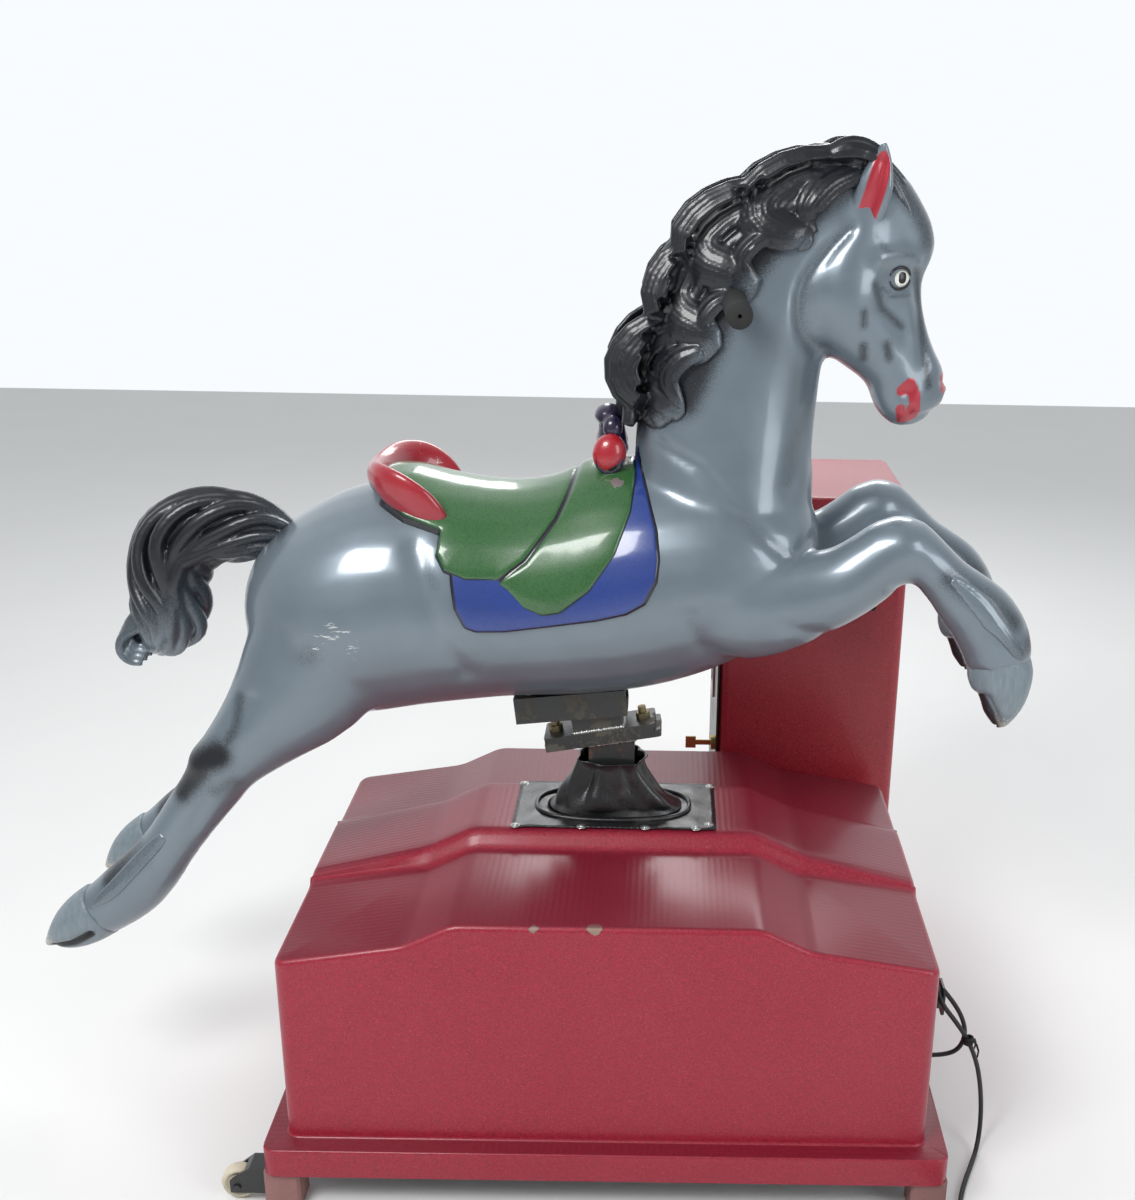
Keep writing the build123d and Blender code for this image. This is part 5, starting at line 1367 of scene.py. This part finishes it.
# %% Cantle, pommel and horn
bm = bmesh.new()
rim_rows = [
    (-229, -92, 945, 7, 5), (-246, -95, 957, 19, 9), (-268, -95, 971, 29, 11), (-292, -87, 984, 33, 13),
    (-314, -68, 991, 30, 14), (-328, -38, 992, 25, 15), (-333, 0, 991, 23, 15),
]  # fmt: skip
rim_rows += [(x, -y, z, tall, thick) for x, y, z, tall, thick in rim_rows[-2::-1]]
rim_line = smooth_rows(rim_rows, 46)
rings = []
for k, (x, y, z, tall, thick) in enumerate(rim_line):
    run = rim_line[min(k + 1, 45), :3] - rim_line[max(k - 1, 0), :3]
    run = Vector(run).normalized()
    up = Vector((-0.16, 0.20 * (1 if y > 0 else -1) * min(1, abs(y) / 60), 1))
    up = (up - run * up.dot(run)).normalized()
    rings.append(((x, y, z), up * tall, up.cross(run).normalized() * thick))
tube(bm, rings, segments=24)
cantle = finish_mesh(bm, "cantle", cantle_red, "rocker")
modify(cantle, "SUBSURF", levels=1, render_levels=1)
bake_modifiers(cantle)
clay = Clay(cantle)
foot = [(-336, 985), (-318, 962), (-290, 948), (-262, 940), (-232, 938)]
clay.paint["dark"] = np.maximum(clay.fade(foot, 9), clay.fade([(-226, 944)], 12))
clay.done()
cantle.data.shade_smooth()


def blob(bm, centre, radii, turn=0.0):
    """An ellipsoid, tipped about Y, in millimetres and degrees."""
    place = Matrix.Translation(Vector(centre) * MM) @ Matrix.Rotation(radians(turn), 4, "Y")
    place = place @ Matrix.Diagonal((*(Vector(radii) * MM), 1))
    bmesh.ops.create_uvsphere(bm, u_segments=32, v_segments=20, radius=1, matrix=place)


bm = bmesh.new()
for side in (-1, 1):
    blob(bm, (-10, side * 42, 1032), (23, 18, 28), 10)
pommel = finish_mesh(bm, "pommel", pommel_red, "rocker")
clay = Clay(pommel)
clay.paint["dark"] = clay.fade([(-30, 1012), (-14, 1004), (4, 1016)], 7)
clay.done()
bm = bmesh.new()
across_y = range(-54, 55, 6)
bar = [(-10, y, 1030 - abs(y) * 0.15) for y in across_y]
strand(bm, bar, [24 - 0.09 * abs(y) for y in across_y], segments=24)
blob(bm, (-14, 0, 1079), (19, 24, 15), -10)
strand(bm, [(-8, 0, z) for z in (1030, 1045, 1060, 1075)], [24, 21, 19, 16], segments=20)
for side in (-1, 1):
    blob(bm, (-6, side * 30, 1066), (14, 14, 17))
horn = finish_mesh(bm, "horn", horn_dark, "rocker")
modify(horn, "REMESH", mode="VOXEL", voxel_size=0.003)
modify(horn, "SMOOTH", factor=0.5, iterations=4)
bake_modifiers(horn)
horn.data.materials.clear()
horn.data.materials.append(horn_dark)
horn.data.shade_smooth()
print("cantle, pommel, horn")

# %% [markdown]
# A black leather boot closes the slot: a plate riveted to the box, a raised oval welt, and a slack sleeve
# up to the column. The sleeve is a stack of rings whose radius waves round and round in uneven folds. It
# rides on no body and stays where it is built.

# %% Boot
def oval_ring(centre, half_x, half_y, z, folds=None, count=96):
    """Points of a stadium-shaped ring, pushed out by a function of the angle."""
    points = []
    for k in range(count):
        a = 2 * pi * k / count
        grow = 1 + (folds(a) if folds else 0)
        c, s = cos(a), sin(a)
        x = centre + half_x * grow * abs(c) ** 0.8 * (1 if c > 0 else -1)
        y = half_y * grow * abs(s) ** 0.8 * (1 if s > 0 else -1)
        points.append(Vector((x, y, z)) * MM)
    return points


def sleeve_fold(t):
    """How the sleeve's wall waves at a share t of its height."""
    def folds(a):
        low, high = (1 - t) ** 0.6 * t * 3.2, t
        slow, quick = 0.10 * sin(3 * a + 2.1 + 2.2 * t), 0.035 * sin(11 * a + 6 * t)
        wave = slow + 0.07 * sin(5 * a - 1.0 - 3.0 * t) + quick
        return wave * low + 0.05 * sin(7 * a + 1.3) * high - 0.10 * low
    return folds


bm = bmesh.new()
levels = [
    (0.0, 99, 45, 477.6), (0.06, 97, 45, 481), (0.16, 92, 46, 486), (0.3, 86, 50, 494), (0.44, 78, 50, 506),
    (0.58, 68, 46, 520), (0.72, 59, 42, 535), (0.84, 53, 38, 548), (0.95, 50, 37, 558), (1.0, 51, 38, 561),
]  # fmt: skip
before = None
for t, half_x, half_y, z in smooth_rows(levels, 34):
    ring = [bm.verts.new(p) for p in oval_ring(-6 * min(1, 2 * t), half_x, half_y, z, sleeve_fold(t))]
    edges = [bm.edges.new(pair) for pair in zip(ring, ring[1:] + ring[:1])]
    if before:
        bmesh.ops.bridge_loops(bm, edges=before + edges)
    before = edges
bmesh.ops.recalc_face_normals(bm, faces=bm.faces)
sleeve = finish_mesh(bm, "leather_sleeve", boot_leather, None, ["boot_sleeve"])
modify(sleeve, "SOLIDIFY", thickness=0.002, offset=-1)
bake_modifiers(sleeve)
sleeve.data.shade_smooth()
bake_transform(sleeve)

bm = bmesh.new()
welt = [p / MM for p in oval_ring(-4, 116, 55, 478.5)]
strand(bm, welt + welt[:2], [3.4] * 98, flat=1.0, segments=10)
finish_mesh(bm, "boot_welt", boot_leather, "base")

plate_low, plate_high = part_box("boot_plate")
bm = bmesh.new()
outline = []
half_x, half_y = (plate_high[0] - plate_low[0]) * 500, (plate_high[1] - plate_low[1]) * 500
for k in range(240):
    a = 2 * pi * k / 240
    c, s = cos(a), sin(a)
    reach = 1 / max(abs(c) / half_x, abs(s) / half_y)
    ragged = -1.2 + 0.9 * sin(k * 2.3) * sin(k * 0.71)
    outline.append(Vector((c * reach * (1 + ragged / half_x), s * reach * (1 + ragged / half_y), 474.2)) * MM)
outer = [bm.verts.new(p) for p in outline]
outer_edges = [bm.edges.new(pair) for pair in zip(outer, outer[1:] + outer[:1])]
inner = [bm.verts.new(p) for p in oval_ring(-4, 98, 44, 474.2, count=240)]
inner_edges = [bm.edges.new(pair) for pair in zip(inner, inner[1:] + inner[:1])]
bmesh.ops.bridge_loops(bm, edges=outer_edges + inner_edges)
spokes = [e for e in bm.edges if (e.verts[0] in outer) != (e.verts[1] in outer)]
bmesh.ops.subdivide_edges(bm, edges=spokes, cuts=8, use_grid_fill=True)
for v in bm.verts:
    wave = sin(v.co.x * 70) * sin(v.co.y * 120 + 1) * 0.7 + sin(v.co.x * 160 + 2) * 0.35
    v.co.z += max(0, wave) * MM
bmesh.ops.recalc_face_normals(bm, faces=bm.faces)
if sum(f.normal.z for f in bm.faces) < 0:
    bmesh.ops.reverse_faces(bm, faces=bm.faces)
boot_sheet = finish_mesh(bm, "boot_sheet", boot_leather, "base", ["boot_plate"])
modify(boot_sheet, "SOLIDIFY", thickness=0.0024, offset=1)

bm = bmesh.new()
for x, y in ((-146, -71), (-48, -72), (46, -72), (121, -72), (141, -60), (-146, 66), (146, 66), (0, 70)):
    head = [(a * MM, r * MM) for a, r in ((2.2, 0), (2.1, 2.2), (1.2, 3.4), (0.4, 3.6), (0.4, 7.0), (-0.2, 7.4))]
    turned(bm, head, Vector((x, y, 476.6)) * MM, (0, 0, 1), 20)
finish_mesh(bm, "boot_rivet_heads", bright_steel, "base", ["boot_rivets"])
print("boot", len(sleeve.data.polygons))

# %% [markdown]
# The two bolted plates and the stub keep their CAD shape. Weld beads, laid as rows of overlapping drops,
# tie the stub to its plate and to the channel above.

# %% Plates, welds and bolts
for material, names in (
    (plate_steel, "lower_flange upper_bracket"), (rusty_bolt, "flange_bolts"), (brass_key, "door_lock"),
    (black_plastic, "cord_gland"), (black_steel, "coin_door"), (bright_steel, "saddle_screws"),
):  # fmt: skip
    dress_nodes(material, names)


def weld(bm, start, end, radius, drops):
    """A row of flattened drops between two points, in millimetres."""
    for k in range(drops):
        place = Vector(start).lerp(Vector(end), (k + 0.5) / drops)
        wobble = 1 + 0.16 * sin(k * 2.7) + 0.1 * sin(k * 5.1)
        squash = Matrix.Diagonal((*(Vector((radius * 1.25, radius, radius)) * wobble * MM), 1))
        spot = Matrix.Translation(place * MM) @ squash
        bmesh.ops.create_icosphere(bm, subdivisions=2, radius=1, matrix=spot)


tilt = radians(10)


def on_plate(along, y, up):
    """A point of the tilted plates: along their slope, across, and up from the lower plate's underside."""
    return (along * cos(tilt) - up * sin(tilt), y, 593 + along * sin(tilt) + up * cos(tilt))


bm = bmesh.new()
for y in (-25, 25):
    weld(bm, on_plate(-59, y, 22), on_plate(15, y, 22), 3.4, 20)
    weld(bm, on_plate(-40, y, -1), on_plate(30, y, -1), 3.0, 18)
for along in (-59, 15):
    weld(bm, on_plate(along, -25, 22), on_plate(along, 25, 22), 3.4, 13)
beads = finish_mesh(bm, "weld_beads", bright_steel, "rocker")
print("weld beads", len(beads.data.polygons))

# %% [markdown]
# The grips are ribbed rubber sleeves with a small hole in the end; the wheels have a cream tyre on a hub.

# %% Grips and wheels
bar_low, bar_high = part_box("handlebar")
bar_x, bar_z = (bar_low[0] + bar_high[0]) / 2, (bar_low[2] + bar_high[2]) / 2
for name, side in (("grip_right", -1), ("grip_left", 1)):
    low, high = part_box(name)
    start, end = sorted((abs(low[1]), abs(high[1])))
    length = end - start
    profile = [(0, 0.0126), (0, 0.0165), (0.004, 0.0168), (0.006, 0.0160)]
    ribs = 13
    for k in range(ribs):
        at = 0.008 + (length - 0.018) * k / ribs
        rib = ((0, 0.0142), (0.0014, 0.0145), (0.0022, 0.0164), (0.0085, 0.0164), (0.0095, 0.0145))
        profile += [(at + along, radius) for along, radius in rib]
    cap = ((0.006, 0.0160), (0.0015, 0.0158), (0, 0.0140), (0, 0.0026), (0.008, 0.0022), (0.008, 0))
    profile += [(length - back, radius) for back, radius in cap]
    bm = bmesh.new()
    turned(bm, profile, (bar_x, side * start, bar_z), (0, side, 0), 40)
    grip = finish_mesh(bm, "ribbed_" + name, black_rubber, "rocker", [name])
    sharp_by_angle(grip, 50)
for name in ("wheel_front", "wheel_rear"):
    low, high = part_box(name)
    middle = [(a + b) / 2 for a, b in zip(low, high)]
    bm = bmesh.new()
    half = [(0.009, 0.0055), (0.0095, 0.010), (0.006, 0.012), (0.006, 0.016), (0.009, 0.018),
            (0.0098, 0.0225), (0.006, 0.0248)]  # fmt: skip
    turned(bm, [(-along, radius) for along, radius in half] + half[::-1], middle, (0, 1, 0), 40)
    finish_mesh(bm, name + "_tyre", tyre_cream, name, [name])
print("grips and wheels")

# %% [markdown]
# Small fittings: the blank notice plate under the cabinet's lid, a plugged hole beside it, and the tie that
# gathers the lead below its hanger.

# %% Fittings
panel_low, panel_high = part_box("notice_panel")
face_y = shell_low[1]
bm = bmesh.new()
block(bm, (panel_low[0], face_y - 0.0020, panel_low[2]), (panel_high[0], face_y + 0.0005, panel_high[2]))
round_edges(bm, lambda e: abs(e.verts[0].co.y - e.verts[1].co.y) > 0.001, 0.012, 6)
notice = finish_mesh(bm, "notice_plate", panel_pale, "base", ["notice_panel"])
sharp_by_angle(notice, 40)
bm = bmesh.new()
button = [(0.0, 0.006), (0.0016, 0.0055), (0.0018, 0.004), (0.0004, 0.0032), (0.0004, 0)]
turned(bm, button, (0.420, face_y, 0.701), (0, -1, 0), 24)
finish_mesh(bm, "hole_plug", black_plastic, "base")

bm = bmesh.new()
for turn in range(3):
    angles = np.linspace(0, 2 * pi, 26)
    heights = [203 + 3.2 * turn + 1.5 * sin(a + turn) for a in angles]
    ring = [(521.5 + 6.6 * cos(a), -198 + 6.6 * sin(a), z) for a, z in zip(angles, heights)]
    strand(bm, ring, [1.7] * 26, segments=8)
for lean in (-1, 1):
    end = [
        (527, -198, 206), (533, -198 + 6 * lean, 203), (536, -198 + 9 * lean, 194),
        (535, -198 + 10 * lean, 184),
    ]  # fmt: skip
    strand(bm, end, [1.7, 1.6, 1.5, 1.2], segments=8)
finish_mesh(bm, "lead_tie", black_rubber, "base")
print("fittings")
